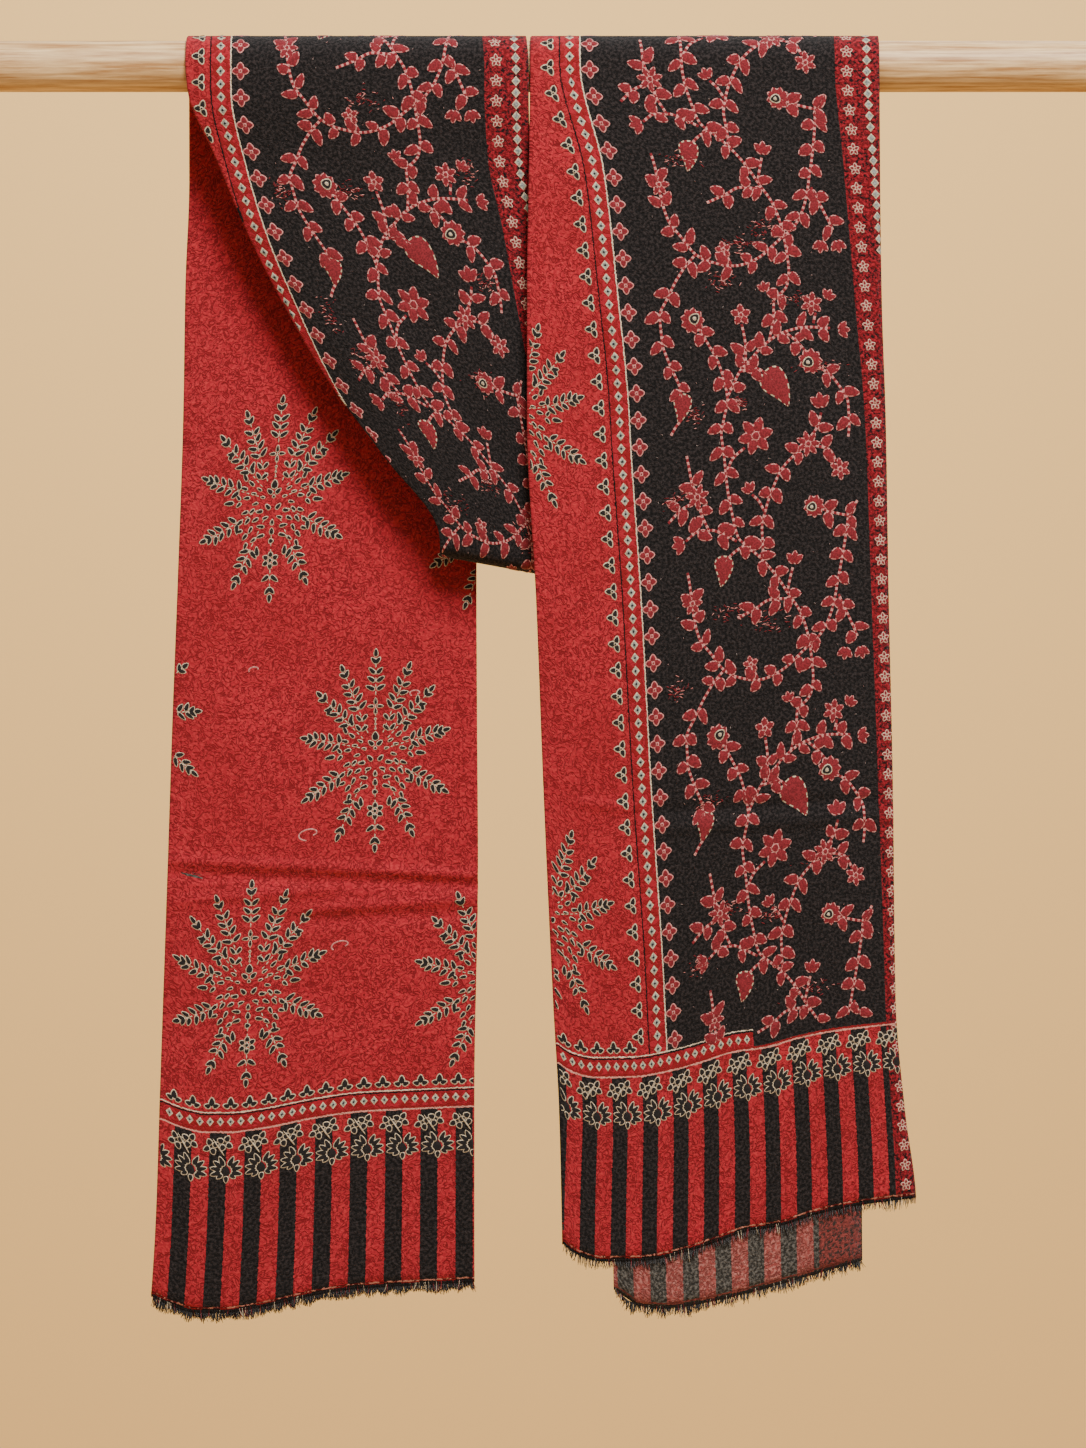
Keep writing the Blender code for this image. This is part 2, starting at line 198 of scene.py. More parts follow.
# Stole: one length of thin twilled wool, 700 mm between its selvedges. It is folded lengthwise into four
# layers, crosses the rod, hangs in a loop, crosses again and hangs behind. Nothing holds it but its weight.
CLOTH_WIDTH = 700 * MM
WOOL = 0.45 * MM
PITCH = 0.70 * MM  # from the middle of one layer to the middle of the next
PACKET = 1.5 * PITCH + WOOL / 2
ROD_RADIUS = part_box("rod")[1][2]
OVER_ROD = ROD_RADIUS + 0.2 * MM + PACKET
LOOP_RADIUS = 7 * MM
LOOP_LEVEL = -269.5 * MM

# Rows of the packet's middle, in millimetres, along each stretch. edge and fold are the cloth's own distances
# from its first selvedge at the packet's right edge and at its left fold. slant is how far the right end of a
# level lies above its left end, and turned is how far back, along +Y, each edge is turned.
Level = namedtuple("Level", "height left right depth slant turned_left turned_right edge fold")
FRONT_TAIL = (
    (-710.0, 11.5, 207.0, -17.2, 0.0, 0.0, 3.0, 10.0, 228.0),
    (-620.0, 10.0, 205.0, -17.2, 0.0, 1.0, 3.5, 12.0, 231.0),
    (-573.0, 8.8, 199.0, -17.4, 0.0, 2.0, 4.0, 16.0, 234.0),
    (-513.0, 5.5, 193.8, -17.8, 0.0, 2.5, 4.0, 18.0, 235.0),
    (-392.0, 0.0, 192.2, -18.6, 0.0, 3.0, 5.0, 15.4, 230.6),
    (-293.0, -3.8, 190.0, -19.2, 0.0, 2.0, 6.0, 14.0, 228.0),
    (-194.0, -8.8, 188.3, -19.4, 0.0, 1.0, 5.0, 12.1, 225.0),
    (-128.0, -8.8, 186.1, -19.2, 0.0, 0.0, 3.0, 8.5, 218.0),
    (-60.0, -7.8, 185.2, -18.4, 0.0, 0.0, 1.0, 3.6, 208.0),
)
RIGHT_CROSSING = (-7.1, 185.0, 0.0, 191.6)
BACK_STRAND = (
    (-60.0, -8.5, 158.0, 13.2, 0.0, 0.0, 0.0, 0.0, 190.0),
    (-128.0, -25.8, 118.0, 10.4, -2.0, 1.0, -1.0, 0.0, 186.0),
    (-200.0, -42.0, 77.0, 8.6, -8.0, 2.0, -3.0, 0.0, 170.0),
)
LOOP_ENDS = (-56.5, 40.0, 0.0, 132.0)
LOOP_SLANT = -18.0
LOOP_TURNED = (2.0, 0.0)
FRONT_STRAND = (
    (-218.7, -88.5, 26.0, -8.8, -12.0, 3.0, 0.0, 0.0, 159.0),
    (-176.2, -117.5, 15.0, -9.6, -6.0, 7.0, 0.0, 0.0, 167.0),
    (-131.2, -142.7, 8.0, -10.0, -2.0, 7.5, 0.0, 0.0, 172.4),
    (-90.6, -162.5, 2.0, -10.6, 0.0, 6.0, 0.0, 0.0, 175.7),
    (-50.5, -179.5, -5.5, -12.2, 0.0, 3.5, 0.0, 0.0, 180.6),
    (-15.4, -194.2, -6.5, -15.8, 0.0, 1.0, 0.0, 0.0, 188.3),
)
LEFT_CROSSING = (-195.4, -6.5, 0.0, 189.4)
BACK_TAIL = (
    (-60.0, -195.4, -16.0, 17.6, 0.0, 0.0, 0.0, 12.0, 206.0),
    (-120.0, -197.6, -22.5, 18.4, 0.0, 0.0, 0.0, 32.0, 232.0),
    (-189.0, -198.7, -28.0, 18.6, 0.0, -0.5, 0.0, 50.0, 252.0),
    (-277.0, -201.5, -33.5, 18.4, 0.0, -2.0, -1.0, 55.0, 255.3),
    (-368.0, -204.8, -33.0, 17.6, 0.0, -3.0, -2.0, 55.0, 255.3),
    (-438.0, -207.0, -32.5, 16.8, 0.0, -3.0, -2.0, 55.0, 255.3),
    (-567.0, -211.4, -34.5, 15.8, 0.0, -2.0, -1.0, 55.0, 255.3),
    (-633.0, -213.6, -34.5, 15.4, 0.0, -1.0, 0.0, 55.0, 255.3),
    (-720.0, -219.5, -34.0, 15.2, 0.0, 0.0, 0.0, 55.0, 255.3),
)
TURN_REACH = 0.4  # share of the width over which an edge turns back
OUTER_TUCK = 0.98  # where the outer layer's free edge ends on the back tail
BACK_SHARE = 0.384  # of the cloth beyond the left fold, what the back layer takes
INNER_RIGHT = 0.985  # where the inner folds lie, as a share of the packet's width
HEM_INNER_LEFT, HEM_INNER_RIGHT = 0.14, 0.84  # the same at the front hem, where the inner layers draw in
DRAWN_FROM, DRAWN_TO = -250 * MM, -660 * MM

# Cut edges, as (share of the packet's width, height in millimetres)
FRONT_HEM = (
    (0.0, -645.1), (0.034, -650.6), (0.107, -654.4), (0.22, -653.9), (0.335, -649.5), (0.408, -645.1),
    (0.524, -637.4), (0.6, -635.3), (0.713, -628.6), (0.817, -624.2), (1.0, -619.8),
)
INNER_HEM = (
    (0.14, -669.8), (0.183, -677.5), (0.273, -680.2), (0.408, -676.4), (0.56, -669.2), (0.713, -661.0),
    (0.84, -653.9),
)
BACK_LAYER_HEM = ((0.0, -645.1), (0.84, -653.9))
BACK_HEM = (
    (0.0, -676.9), (0.065, -682.4), (0.14, -685.7), (0.214, -685.7), (0.324, -683.0), (0.473, -676.9),
    (0.622, -672.5), (0.771, -670.9), (1.0, -668.7),
)
FRONT_LENGTH = 640 * MM  # of cloth from the front hem to where it meets the rod
BACK_LENGTH = 677 * MM

# Creases, in millimetres: stretch, x and height of each end, half width, and how far it stands out
CREASES = (
    ("back tail", -207.0, -436.0, -33.0, -444.5, 2.6, 1.5),
    ("back tail", -205.0, -444.0, -33.0, -450.5, 3.0, -1.5),
    ("back tail", -204.0, -459.0, -118.0, -452.5, 2.6, 1.2),
    ("back tail", -128.0, -463.5, -35.0, -457.0, 2.8, 1.4),
    ("back tail", -150.0, -470.0, -36.0, -466.0, 4.0, -1.2),
    ("back tail", -170.0, -180.0, -70.0, -330.0, 26.0, 1.2),
    ("back tail", -60.0, -560.0, -150.0, -640.0, 30.0, -1.3),
    ("front tail", 20.0, -404.0, 60.0, -409.0, 2.8, 1.2),
    ("front tail", 55.0, -409.0, 185.0, -402.0, 3.2, -1.3),
    ("front tail", 70.0, -418.0, 190.0, -411.0, 3.4, 1.2),
    ("front tail", 14.0, -22.0, 42.0, -165.0, 8.0, 2.0),
    ("front tail", 30.0, -150.0, 20.0, -420.0, 16.0, -1.0),
    ("front tail", 150.0, -180.0, 165.0, -600.0, 22.0, 1.2),
    ("front tail", 60.0, -500.0, 90.0, -660.0, 18.0, -1.0),
    ("front strand", -165.0, -70.0, -60.0, -235.0, 10.0, 1.3),
    ("front strand", -130.0, -40.0, -20.0, -225.0, 12.0, -1.1),
    ("front strand", -70.0, -40.0, 0.0, -200.0, 14.0, 1.0),
)
CREASE_CLEAR = 12 * MM  # how far creases stay from the rod
CREASE_FADE = 30.0  # how sharply a crease ends, over its length
CREASE_PAST = 0.02  # how far past its end it still has half its height, as a share of its length


def slopes_through(ways, values):
    """Slopes at each row of a curve that never overshoots: the weighted harmonic mean of its chords."""
    steps = np.diff(ways)[:, None]
    rises = np.diff(values, axis=0) / steps
    before, after = rises[:-1], rises[1:]
    same_way = before * after > 0
    weights = 2 * steps[1:] + steps[:-1], steps[1:] + 2 * steps[:-1]
    shares = weights[0] / np.where(same_way, before, 1.0) + weights[1] / np.where(same_way, after, 1.0)
    slopes = np.zeros_like(values)
    slopes[1:-1] = np.where(same_way, sum(weights) / shares, 0.0)
    slopes[0], slopes[-1] = rises[0], rises[-1]
    return slopes


def smooth(at, ways, values):
    """The values of a table at any place, by a cubic between rows that keeps each row's slope."""
    at = np.clip(at, ways[0], ways[-1])
    slopes = slopes_through(ways, values)
    row = np.clip(np.searchsorted(ways, at, side="right") - 1, 0, len(ways) - 2)
    step = (ways[row + 1] - ways[row])[..., None]
    share = (at - ways[row])[..., None] / step
    found = values[row] * (1 + 2 * share) * (1 - share) ** 2 + values[row + 1] * share**2 * (3 - 2 * share)
    return found + step * share * (1 - share) * (slopes[row] * (1 - share) - slopes[row + 1] * share)


def half_turn(radius, level, ends, slant, turned, start, steps):
    """Rows of a half turn about an axis along X, from an angle measured from -Y over +Z."""
    left, right, edge, fold = ends
    return [
        (level + radius * math.sin(angle), left, right, -radius * math.cos(angle), slant, *turned, edge, fold)
        for angle in np.linspace(start, start + math.pi, steps + 1)
    ]


STRETCHES = {
    "front tail": FRONT_TAIL,
    "right crossing": half_turn(OVER_ROD / MM, 0.0, RIGHT_CROSSING, 0.0, (0.0, 0.0), 0.0, 16),
    "back strand": BACK_STRAND,
    "loop": half_turn(LOOP_RADIUS / MM, LOOP_LEVEL / MM, LOOP_ENDS, LOOP_SLANT, LOOP_TURNED, math.pi, 10),
    "front strand": FRONT_STRAND,
    "left crossing": half_turn(OVER_ROD / MM, 0.0, LEFT_CROSSING, 0.0, (0.0, 0.0), 0.0, 16),
    "back tail": BACK_TAIL,
}
ROWS = np.concatenate([np.array(rows) for rows in STRETCHES.values()]) * MM
WAYS = np.concatenate([[0.0], np.cumsum(np.hypot(np.diff(ROWS[:, 0]), np.diff(ROWS[:, 3])))])
FIRST = dict(zip(STRETCHES, np.cumsum([0, *(len(rows) for rows in STRETCHES.values())])))
FRONT_ROD, LOOP_IN, SECOND_ROD = (WAYS[FIRST[name]] for name in ("right crossing", "loop", "left crossing"))
BACK_ROD, LOOP_OUT, TAIL_ROD = (
    WAYS[FIRST[name] - 1] for name in ("back strand", "front strand", "back tail")
)
CLOTH_LENGTH = FRONT_LENGTH + TAIL_ROD - FRONT_ROD + BACK_LENGTH


def levels(way):
    """The packet's Level at a way along it."""
    return Level(*np.moveaxis(smooth(way, WAYS, ROWS), -1, 0))


def creased(way, x, height):
    """How far the packet stands out: beside each crease's line, a bell across it, fading at its ends."""
    spans = {
        "front tail": (0.0, FRONT_ROD - CREASE_CLEAR),
        "front strand": (LOOP_OUT, SECOND_ROD),
        "back tail": (TAIL_ROD + CREASE_CLEAR, WAYS[-1]),
    }
    out = np.zeros_like(x)
    for stretch, x0, z0, x1, z1, width, rise in CREASES:
        along = np.array([x1 - x0, z1 - z0]) * MM
        length = np.hypot(*along)
        along /= length
        right, up = x - x0 * MM, height - z0 * MM
        run = (right * along[0] + up * along[1]) / length
        off = (up * along[0] - right * along[1]) / (width * MM)
        begun = 1 / (1 + np.exp(-(run + CREASE_PAST) * CREASE_FADE))
        ended = 1 / (1 + np.exp((run - 1 - CREASE_PAST) * CREASE_FADE))
        here = (way >= spans[stretch][0]) & (way <= spans[stretch][1])
        out += here * rise * MM * np.exp(-off * off) * begun * ended
    return out


def middle(way, across):
    """The packet's middle: across runs from 0 at the left fold to 1 at the right edge of the level."""
    level = levels(way)
    back = level.turned_left * np.clip(1 - across / TURN_REACH, 0, None) ** 2
    back += level.turned_right * np.clip(1 - (1 - across) / TURN_REACH, 0, None) ** 2
    x = level.left + (level.right - level.left) * across
    height = level.height + level.slant * (across - 0.5)
    return np.stack([x, level.depth + back, height], axis=-1)


def on_packet(way, across, outwards):
    """A point that stands out from the packet's middle along its normal, towards the outer layer."""
    step, share = 0.4 * MM, 0.004
    along = middle(way + step, across) - middle(way - step, across)
    sideways = middle(way, across + share) - middle(way, across - share)
    normal = np.cross(sideways, along)
    normal /= np.linalg.norm(normal, axis=-1, keepdims=True)
    centre = middle(way, across)
    side = np.where(way > TAIL_ROD, -1.0, 1.0)
    out = outwards + side * creased(way, centre[..., 0], centre[..., 2])
    return centre + normal * out[..., None]


def way_at(height, stretch):
    """The way along a tail at which the packet's middle lies at a height."""
    first = FIRST[stretch]
    rows = slice(first, first + len(STRETCHES[stretch]))
    order = np.argsort(ROWS[rows, 0])
    return np.interp(height, ROWS[rows, 0][order], WAYS[rows][order])


def hem_way(table, share, stretch):
    """Where a cut edge lies along a tail, at each share of the width, from that edge's table."""
    table = np.array(table)
    return way_at(smooth(share, table[:, 0], table[:, 1:])[..., 0] * MM, stretch)


def ways_along(length, share, front_hem):
    """The way on the packet of a line that keeps its distance from the cut edges, which its tails follow."""
    front = hem_way(front_hem, share, "front tail")
    back = hem_way(BACK_HEM, share, "back tail")
    in_front = front + (FRONT_ROD - front) * length / FRONT_LENGTH
    from_back = (CLOTH_LENGTH - length) / BACK_LENGTH
    behind = back + (TAIL_ROD - back) * from_back
    between = FRONT_ROD + length - FRONT_LENGTH
    return np.where(length < FRONT_LENGTH, in_front, np.where(from_back < 1, behind, between))


def drawn_in(way):
    """How far the inner layers are drawn in: 1 at the front hem, 0 from part of the way up."""
    top, bottom = way_at(DRAWN_FROM, "front tail"), way_at(DRAWN_TO, "front tail")
    share = np.clip((top - way) / (top - bottom), 0, 1)
    return share * share * (3 - 2 * share)


def outer_right(way):
    """Share of the width at the outer layer's free edge: a little inside the fold on the back tail."""
    return np.interp(way, [SECOND_ROD, TAIL_ROD], [1.0, OUTER_TUCK])


# The course of one cross-section, from the outer layer's free edge to the second layer's. Each station has
# its share of the packet's width, the same drawn in, its fold's push to the right and outwards, its first
# side's direction, and how far along its layer it lies.
Station = namedtuple("Station", "layer share drawn right out side_right side_out along")
OUTER, BACK, THIRD, SECOND = range(4)
FLAT_COLUMNS = {OUTER: 50, BACK: 50, THIRD: 8, SECOND: 12}


def flat_run(layer, out, side, leftwards):
    """Stations of one layer's flat part."""
    along = np.linspace(0, 1, FLAT_COLUMNS[layer])
    share = (1 - along if leftwards else along) * (1.0 if layer == OUTER else INNER_RIGHT)
    low = HEM_INNER_LEFT if layer in (THIRD, SECOND) else 0.0
    high = 1.0 if layer == OUTER else HEM_INNER_RIGHT
    drawn = low + share / share.max() * (high - low)
    flat = np.zeros_like(along)
    return np.stack([flat + layer, share, drawn, flat, flat + out, flat, flat + side, along], axis=1)


def half_fold(run, centre, radius, hand, start, steps):
    """Stations of a half circle after a flat run. hand is -1 at the left and 1 at the right, and start is the
    direction of the first side.
    """
    angle = np.linspace(0, math.pi, steps + 1)[1:-1, None]
    last = run[-1]
    turn = np.repeat(last[None], len(angle), axis=0)
    turn[:, 3:4] = hand * radius * np.sin(angle)
    turn[:, 4:5] = centre + start * radius * np.cos(angle)
    outward = 1.0 if start * last[6] > 0 else -1.0
    turn[:, 5:6] = outward * hand * np.sin(angle)
    turn[:, 6:7] = outward * start * np.cos(angle)
    return turn


outer_run = flat_run(OUTER, 1.5 * PITCH, 1.0, True)
back_run = flat_run(BACK, -1.5 * PITCH, -1.0, False)
third_run = flat_run(THIRD, -0.5 * PITCH, 1.0, True)
second_run = flat_run(SECOND, 0.5 * PITCH, -1.0, False)
COURSE = Station(
    *np.concatenate(
        [
            outer_run,
            half_fold(outer_run, 0.0, 1.5 * PITCH, -1, 1.0, 10),
            back_run,
            half_fold(back_run, -PITCH, 0.5 * PITCH, 1, -1.0, 6),
            third_run,
            half_fold(third_run, 0.0, 0.5 * PITCH, -1, -1.0, 6),
            second_run,
        ]
    ).T
)


def across_cloth(level, layer, along):
    """How far from the first selvedge a layer's point lies."""
    turn = level.fold + (CLOTH_WIDTH - level.fold) * BACK_SHARE
    half = (CLOTH_WIDTH - turn) / 2
    starts = np.stack([level.edge, level.fold, turn, turn + half])
    ends = np.stack([level.fold, turn, turn + half, turn + 2 * half])
    pick = layer.astype(int)[None]
    start = np.take_along_axis(starts, pick, axis=0)[0]
    return start + (np.take_along_axis(ends, pick, axis=0)[0] - start) * along

CREASED_FRONT = (200 * MM, 265 * MM)  # from the front hem, where rows lie close for narrow creases
CREASED_BACK = (185 * MM, 265 * MM)  # the same, from the back hem
ROW_STEPS = (29, 35, 49, 18, 23, 12, 39, 18, 53, 47, 25)  # rows of faces in each stretch of the cloth


def stole():
    """The course carried along the packet: two faces, WOOL apart, closed at both edges and both hems."""
    bends = np.array([FRONT_ROD, BACK_ROD, LOOP_IN, LOOP_OUT, SECOND_ROD, TAIL_ROD])
    bends = bends - FRONT_ROD + FRONT_LENGTH
    behind = [CLOTH_LENGTH - CREASED_BACK[1], CLOTH_LENGTH - CREASED_BACK[0], CLOTH_LENGTH]
    knots = [0.0, *CREASED_FRONT, *bends, *behind]
    spots = [np.linspace(*ends, steps, endpoint=False) for *ends, steps in zip(knots, knots[1:], ROW_STEPS)]
    length = np.concatenate([*spots, [CLOTH_LENGTH]])[:, None] + np.zeros(len(COURSE.layer))
    layer = np.broadcast_to(COURSE.layer, length.shape)
    hems = ((OUTER, FRONT_HEM), (BACK, BACK_LAYER_HEM), (THIRD, INNER_HEM), (SECOND, INNER_HEM))
    share = np.broadcast_to(COURSE.share, length.shape)
    # The way of a row depends on its share of the width and the share on the way, so they are found in turn
    for _ in range(3):
        way = np.zeros_like(length)
        for which, hem in hems:
            way = np.where(layer == which, ways_along(length, share, hem), way)
        share = COURSE.share + (COURSE.drawn - COURSE.share) * drawn_in(way)
        share = share * np.where(layer == OUTER, outer_right(way), 1.0)
    level = levels(way)
    inset = PACKET * (1 - 2 * share)
    sides = []
    for half in (WOOL / 2, -WOOL / 2):
        right = COURSE.right + inset + half * COURSE.side_right
        place = share + right / (level.right - level.left)
        sides.append(on_packet(way, place, COURSE.out + half * COURSE.side_out))
    uv = np.stack([across_cloth(level, layer, np.broadcast_to(COURSE.along, layer.shape)), length], axis=-1)
    points = np.concatenate([sides[0], sides[1][:, ::-1]], axis=1)
    both = np.concatenate([uv, uv[:, ::-1]], axis=1)
    rows, around = points.shape[:2]
    corner = np.arange(rows * around).reshape(rows, around)
    after = np.roll(corner, -1, axis=1)
    quads = np.stack([corner[:-1], corner[1:], after[1:], after[:-1]], axis=-1)
    count = around // 2
    reverse = np.zeros(quads.shape[:2], int)
    reverse[:, count:-1] = 1
    caps = []
    for row, turned in ((0, False), (rows - 1, True)):
        near, far = corner[row, :count], corner[row, ::-1][:count]
        cap = np.stack([near[:-1], near[1:], far[1:], far[:-1]], axis=1)
        caps.append(cap[:, ::-1] if turned else cap)
    faces = np.concatenate([quads.reshape(-1, 4), *caps])
    slots = np.concatenate([reverse.ravel(), np.zeros(2 * (count - 1), int)])
    return new_piece("wool_stole", points, faces, [wool_face, wool_reverse], slots, both)


SELVEDGE_END = 24.7 * MM  # the patterned edge ends and the black field begins
FIELD_END = 165.2 * MM
BAND_END = 176.6 * MM
END_BAND_FROM = 110 * MM  # the end band stops short of the selvedge
END_LINE = 98.3 * MM  # from the hem
END_BAND_TOP = 108.3 * MM
STRIPE_PITCH = 19.2 * MM
STRIPE_BLACK = 0.49
BACK_PHASE = 0.315  # how far the stripes start along their pitch at the back end
# Sizes of the weave's noises. Real threads are too fine to show, so all are drawn coarser.
FINE_GRAIN, WORM_GRAIN, FADED_GRAIN = 1.7 * MM, 4.6 * MM, 60 * MM
RAGGED = 1.6 * MM  # how far the edges of bands wander


def twilled_wool(name, colours):
    """Red and black grounds under worm-like stitches, with bands by the distance from selvedge and hem."""
    # Napped wool is dull, with a soft sheen from its loose fibres
    made, tree, shader = finish_named(name, 0.9, sheen=0.1)
    shader.inputs["Sheen Roughness"].default_value = 0.5
    shader.inputs["Specular IOR Level"].default_value = 0.15
    place = add(tree, "UVMap", {}, uv_map="cloth")
    spot = add(tree, "SeparateXYZ", {0: place})

    # How far each point lies from the nearer selvedge and the nearer hem, made ragged by the fine noise
    fine = add(tree, "TexNoise", {"Vector": place, "Scale": 1 / FINE_GRAIN, "Detail": 3.0, "Roughness": 0.6})
    ragged = add(tree, "Math", {0: fine, 1: RAGGED, 2: -RAGGED / 2}, operation="MULTIPLY_ADD")
    across = add(tree, "Math", {0: (spot, 0), 1: ragged}, operation="ADD")
    along = add(tree, "Math", {0: (spot, 1), 1: ragged}, operation="ADD")
    selvedge = add(tree, "Math", {0: across, 1: CLOTH_WIDTH / 2}, operation="PINGPONG")
    hem = add(tree, "Math", {0: along, 1: CLOTH_LENGTH / 2}, operation="PINGPONG")
    inland = add(tree, "Math", {0: selvedge, 1: END_BAND_FROM}, operation="GREATER_THAN")

    # Worm-like stitches: the mid level of a noise, bent by a finer one, is a mesh of short curled lines
    bent = add(tree, "TexNoise", {"Vector": place, "Scale": 1 / WORM_GRAIN, "Detail": 1.5, "Distortion": 1.6})
    worm = add(tree, "Math", {0: bent, 1: -0.5}, operation="ADD")
    worm = add(tree, "Math", {0: worm}, operation="ABSOLUTE")
    worm = add(tree, "MapRange", {0: worm, 1: 0.01, 2: 0.07, 3: 0.8, 4: 0.0})
    fleck = add(tree, "MapRange", {0: fine, 1: 0.44, 2: 0.62, 3: 0.0, 4: 1.0})
    speckled = add(tree, "MapRange", {0: bent, 1: 0.47, 2: 0.53, 3: 0.0, 4: 1.0})
    faded = add(tree, "TexNoise", {"Vector": place, "Scale": 1 / FADED_GRAIN, "Detail": 3.0})
    faded = add(tree, "MapRange", {0: faded, 1: 0.35, 2: 0.7, 3: 0.0, 4: 0.35})

    # Stripes: black over the first part of each pitch, which starts elsewhere at the back end
    at_back = add(tree, "Math", {0: (spot, 1), 1: CLOTH_LENGTH / 2}, operation="GREATER_THAN")
    turn = add(tree, "Math", {0: across, 1: STRIPE_PITCH}, operation="DIVIDE")
    turn = add(tree, "Math", {0: at_back, 1: BACK_PHASE, 2: turn}, operation="MULTIPLY_ADD")
    turn = add(tree, "Math", {0: turn}, operation="FRACT")
    striped = add(tree, "Math", {0: turn, 1: STRIPE_BLACK}, operation="LESS_THAN")

    # Mixed yarns and grounds: the first colour, the pattern that brings in the second, and the second
    tones = {shade: hex_colour(code) for shade, code in colours.items()}
    for woven, under, pattern, over in (
        ("red ground", "red", fleck, "bright red"),
        ("red ground", "red ground", worm, "dark red"),
        ("red ground", "red ground", faded, "deep red"),
        ("black ground", "black", fleck, "charcoal"),
        ("edge", "dark red", speckled, "black"),
        ("edge", "edge", fleck, "red"),
        ("band", "red", speckled, "deep red"),
        ("stitched", "dark red", speckled, "pink"),
        ("stripes", "red ground", striped, "black ground"),
    ):
        blend = add(tree, "Mix", {0: pattern, 6: tones[under], 7: tones[over]}, data_type="RGBA")
        tones[woven] = (blend, 2)

    # Bands, each over those before it: measured from, start, end, colour, and where along it the band shows
    colour = tones["red ground"]
    for distance, low, high, tone, shown in (
        (selvedge, -MM, FIELD_END, "black ground", 1.0),
        (selvedge, FIELD_END, BAND_END, "band", 1.0),
        (selvedge, FIELD_END - 0.25 * MM, FIELD_END + 0.45 * MM, "cream", 1.0),
        (selvedge, BAND_END - 0.4 * MM, BAND_END + 0.4 * MM, "black", 1.0),
        (hem, END_LINE, END_BAND_TOP, "band", inland),
        (hem, END_BAND_TOP - 0.8 * MM, END_BAND_TOP, "black", inland),
        (hem, END_BAND_TOP + 0.3 * MM, END_BAND_TOP + 0.9 * MM, "cream", inland),
        (hem, END_LINE, END_LINE + 1.6 * MM, "deep red", 1.0),
        (hem, -MM, END_LINE, "stripes", 1.0),
        (selvedge, -MM, SELVEDGE_END, "edge", 1.0),
        (hem, END_LINE - 0.5 * MM, END_LINE + 0.4 * MM, "pink", 1.0),
        (hem, 2.2 * MM, 3.0 * MM, "stitched", 1.0),
        (hem, -MM, 1.6 * MM, "black", 1.0),
    ):
        inside = {0: distance, 1: (low + high) / 2, 2: (high - low) / 2}
        inside = add(tree, "Math", inside, operation="COMPARE")
        inside = add(tree, "Math", {0: inside, 1: shown}, operation="MULTIPLY")
        blend = add(tree, "Mix", {0: inside, 6: colour, 7: tones[tone]}, data_type="RGBA")
        colour = (blend, 2)
    tree.links.new(blend.outputs[2], shader.inputs["Base Color"])

    relief = add(tree, "Math", {0: worm, 1: -0.75, 2: fine}, operation="MULTIPLY_ADD")
    bump = add(tree, "Bump", {"Height": relief, "Strength": 0.8, "Distance": 0.6 * MM})
    tree.links.new(bump.outputs[0], shader.inputs["Normal"])
    return made


SHADES = ("red", "bright red", "dark red", "deep red", "black", "charcoal", "cream", "pink")
FACE = ("#A01F2A", "#C03338", "#5E0D11", "#85181B", "#0F0C0C", "#312A29", "#D8C5A8", "#D08C7C")
REVERSE = ("#8C403B", "#B4736A", "#6A302C", "#763430", "#2C2925", "#66615A", "#B5A894", "#8A463F")
wool_face = twilled_wool("twilled wool", dict(zip(SHADES, FACE)))
wool_reverse = twilled_wool("twilled wool reverse", dict(zip(SHADES, REVERSE)))
cloth = stole()
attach(cloth, "root")
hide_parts("stole")

# Vines on the black field: wool satin stitch in red, couched round with a beaded pale pink thread. One repeat
# is drawn on a chart, x from the field's inner edge and y down, and runs the length of the cloth.
def on_cloth(layer, across, length, lift):
    """Points at a lift above the cloth's face, and which of them lie on this layer. The share of the packet's
    width and the way along it are found in turn, as each depends on the other.
    """
    hem = FRONT_HEM if layer == OUTER else BACK_LAYER_HEM
    length = np.clip(length, 0, CLOTH_LENGTH)
    share = np.full(np.shape(across), 0.5)
    for _ in range(4):
        way = ways_along(length, share, hem)
        level = levels(way)
        turn = level.fold + (CLOTH_WIDTH - level.fold) * BACK_SHARE
        if layer == OUTER:
            low, high = level.edge, level.fold
            share = np.clip((high - across) / (high - low), 0, 1) * outer_right(way)
        else:
            low, high = level.fold, turn
            full = INNER_RIGHT + (HEM_INNER_RIGHT - INNER_RIGHT) * drawn_in(way)
            share = np.clip((across - low) / (high - low), 0, 1) * full
    place = share + PACKET * (1 - 2 * share) / (level.right - level.left)
    out = 1.5 * PITCH + WOOL / 2 + lift
    points = on_packet(way, place, out if layer == OUTER else -out)
    return points, (across > low) & (across < high)


# An item of embroidery: where its middle lies on the cloth, the way it points, its length and its width
Item = namedtuple("Item", "across length angle long wide")
RIM_LIFT, EDGE_LIFT, TOP_LIFT = 0.04 * MM, 0.24 * MM, 0.30 * MM


def egg(points):
    """A closed outline, pointed a little at its far end: an ellipse that narrows with the cosine."""
    turn = np.arange(points) * 2 * math.pi / points
    return np.stack([np.cos(turn), np.sin(turn) * (1 - 0.30 * np.cos(turn))], axis=1)


def scalloped(points, lobes):
    """A round outline whose reach swells and shrinks with the cosine, once to each lobe."""
    turn = np.arange(points) * 2 * math.pi / points
    reach = 0.90 + 0.10 * np.cos(lobes * turn)
    return np.stack([reach * np.cos(turn), reach * np.sin(turn)], axis=1)


def paisley(points):
    """An egg whose narrow end is bent to one side, by the square of how far along it lies."""
    outline = egg(points)
    outline[:, 1] *= 1 - 0.35 * outline[:, 0]
    outline[:, 1] += 0.45 * np.clip(outline[:, 0], 0, None) ** 2
    return outline


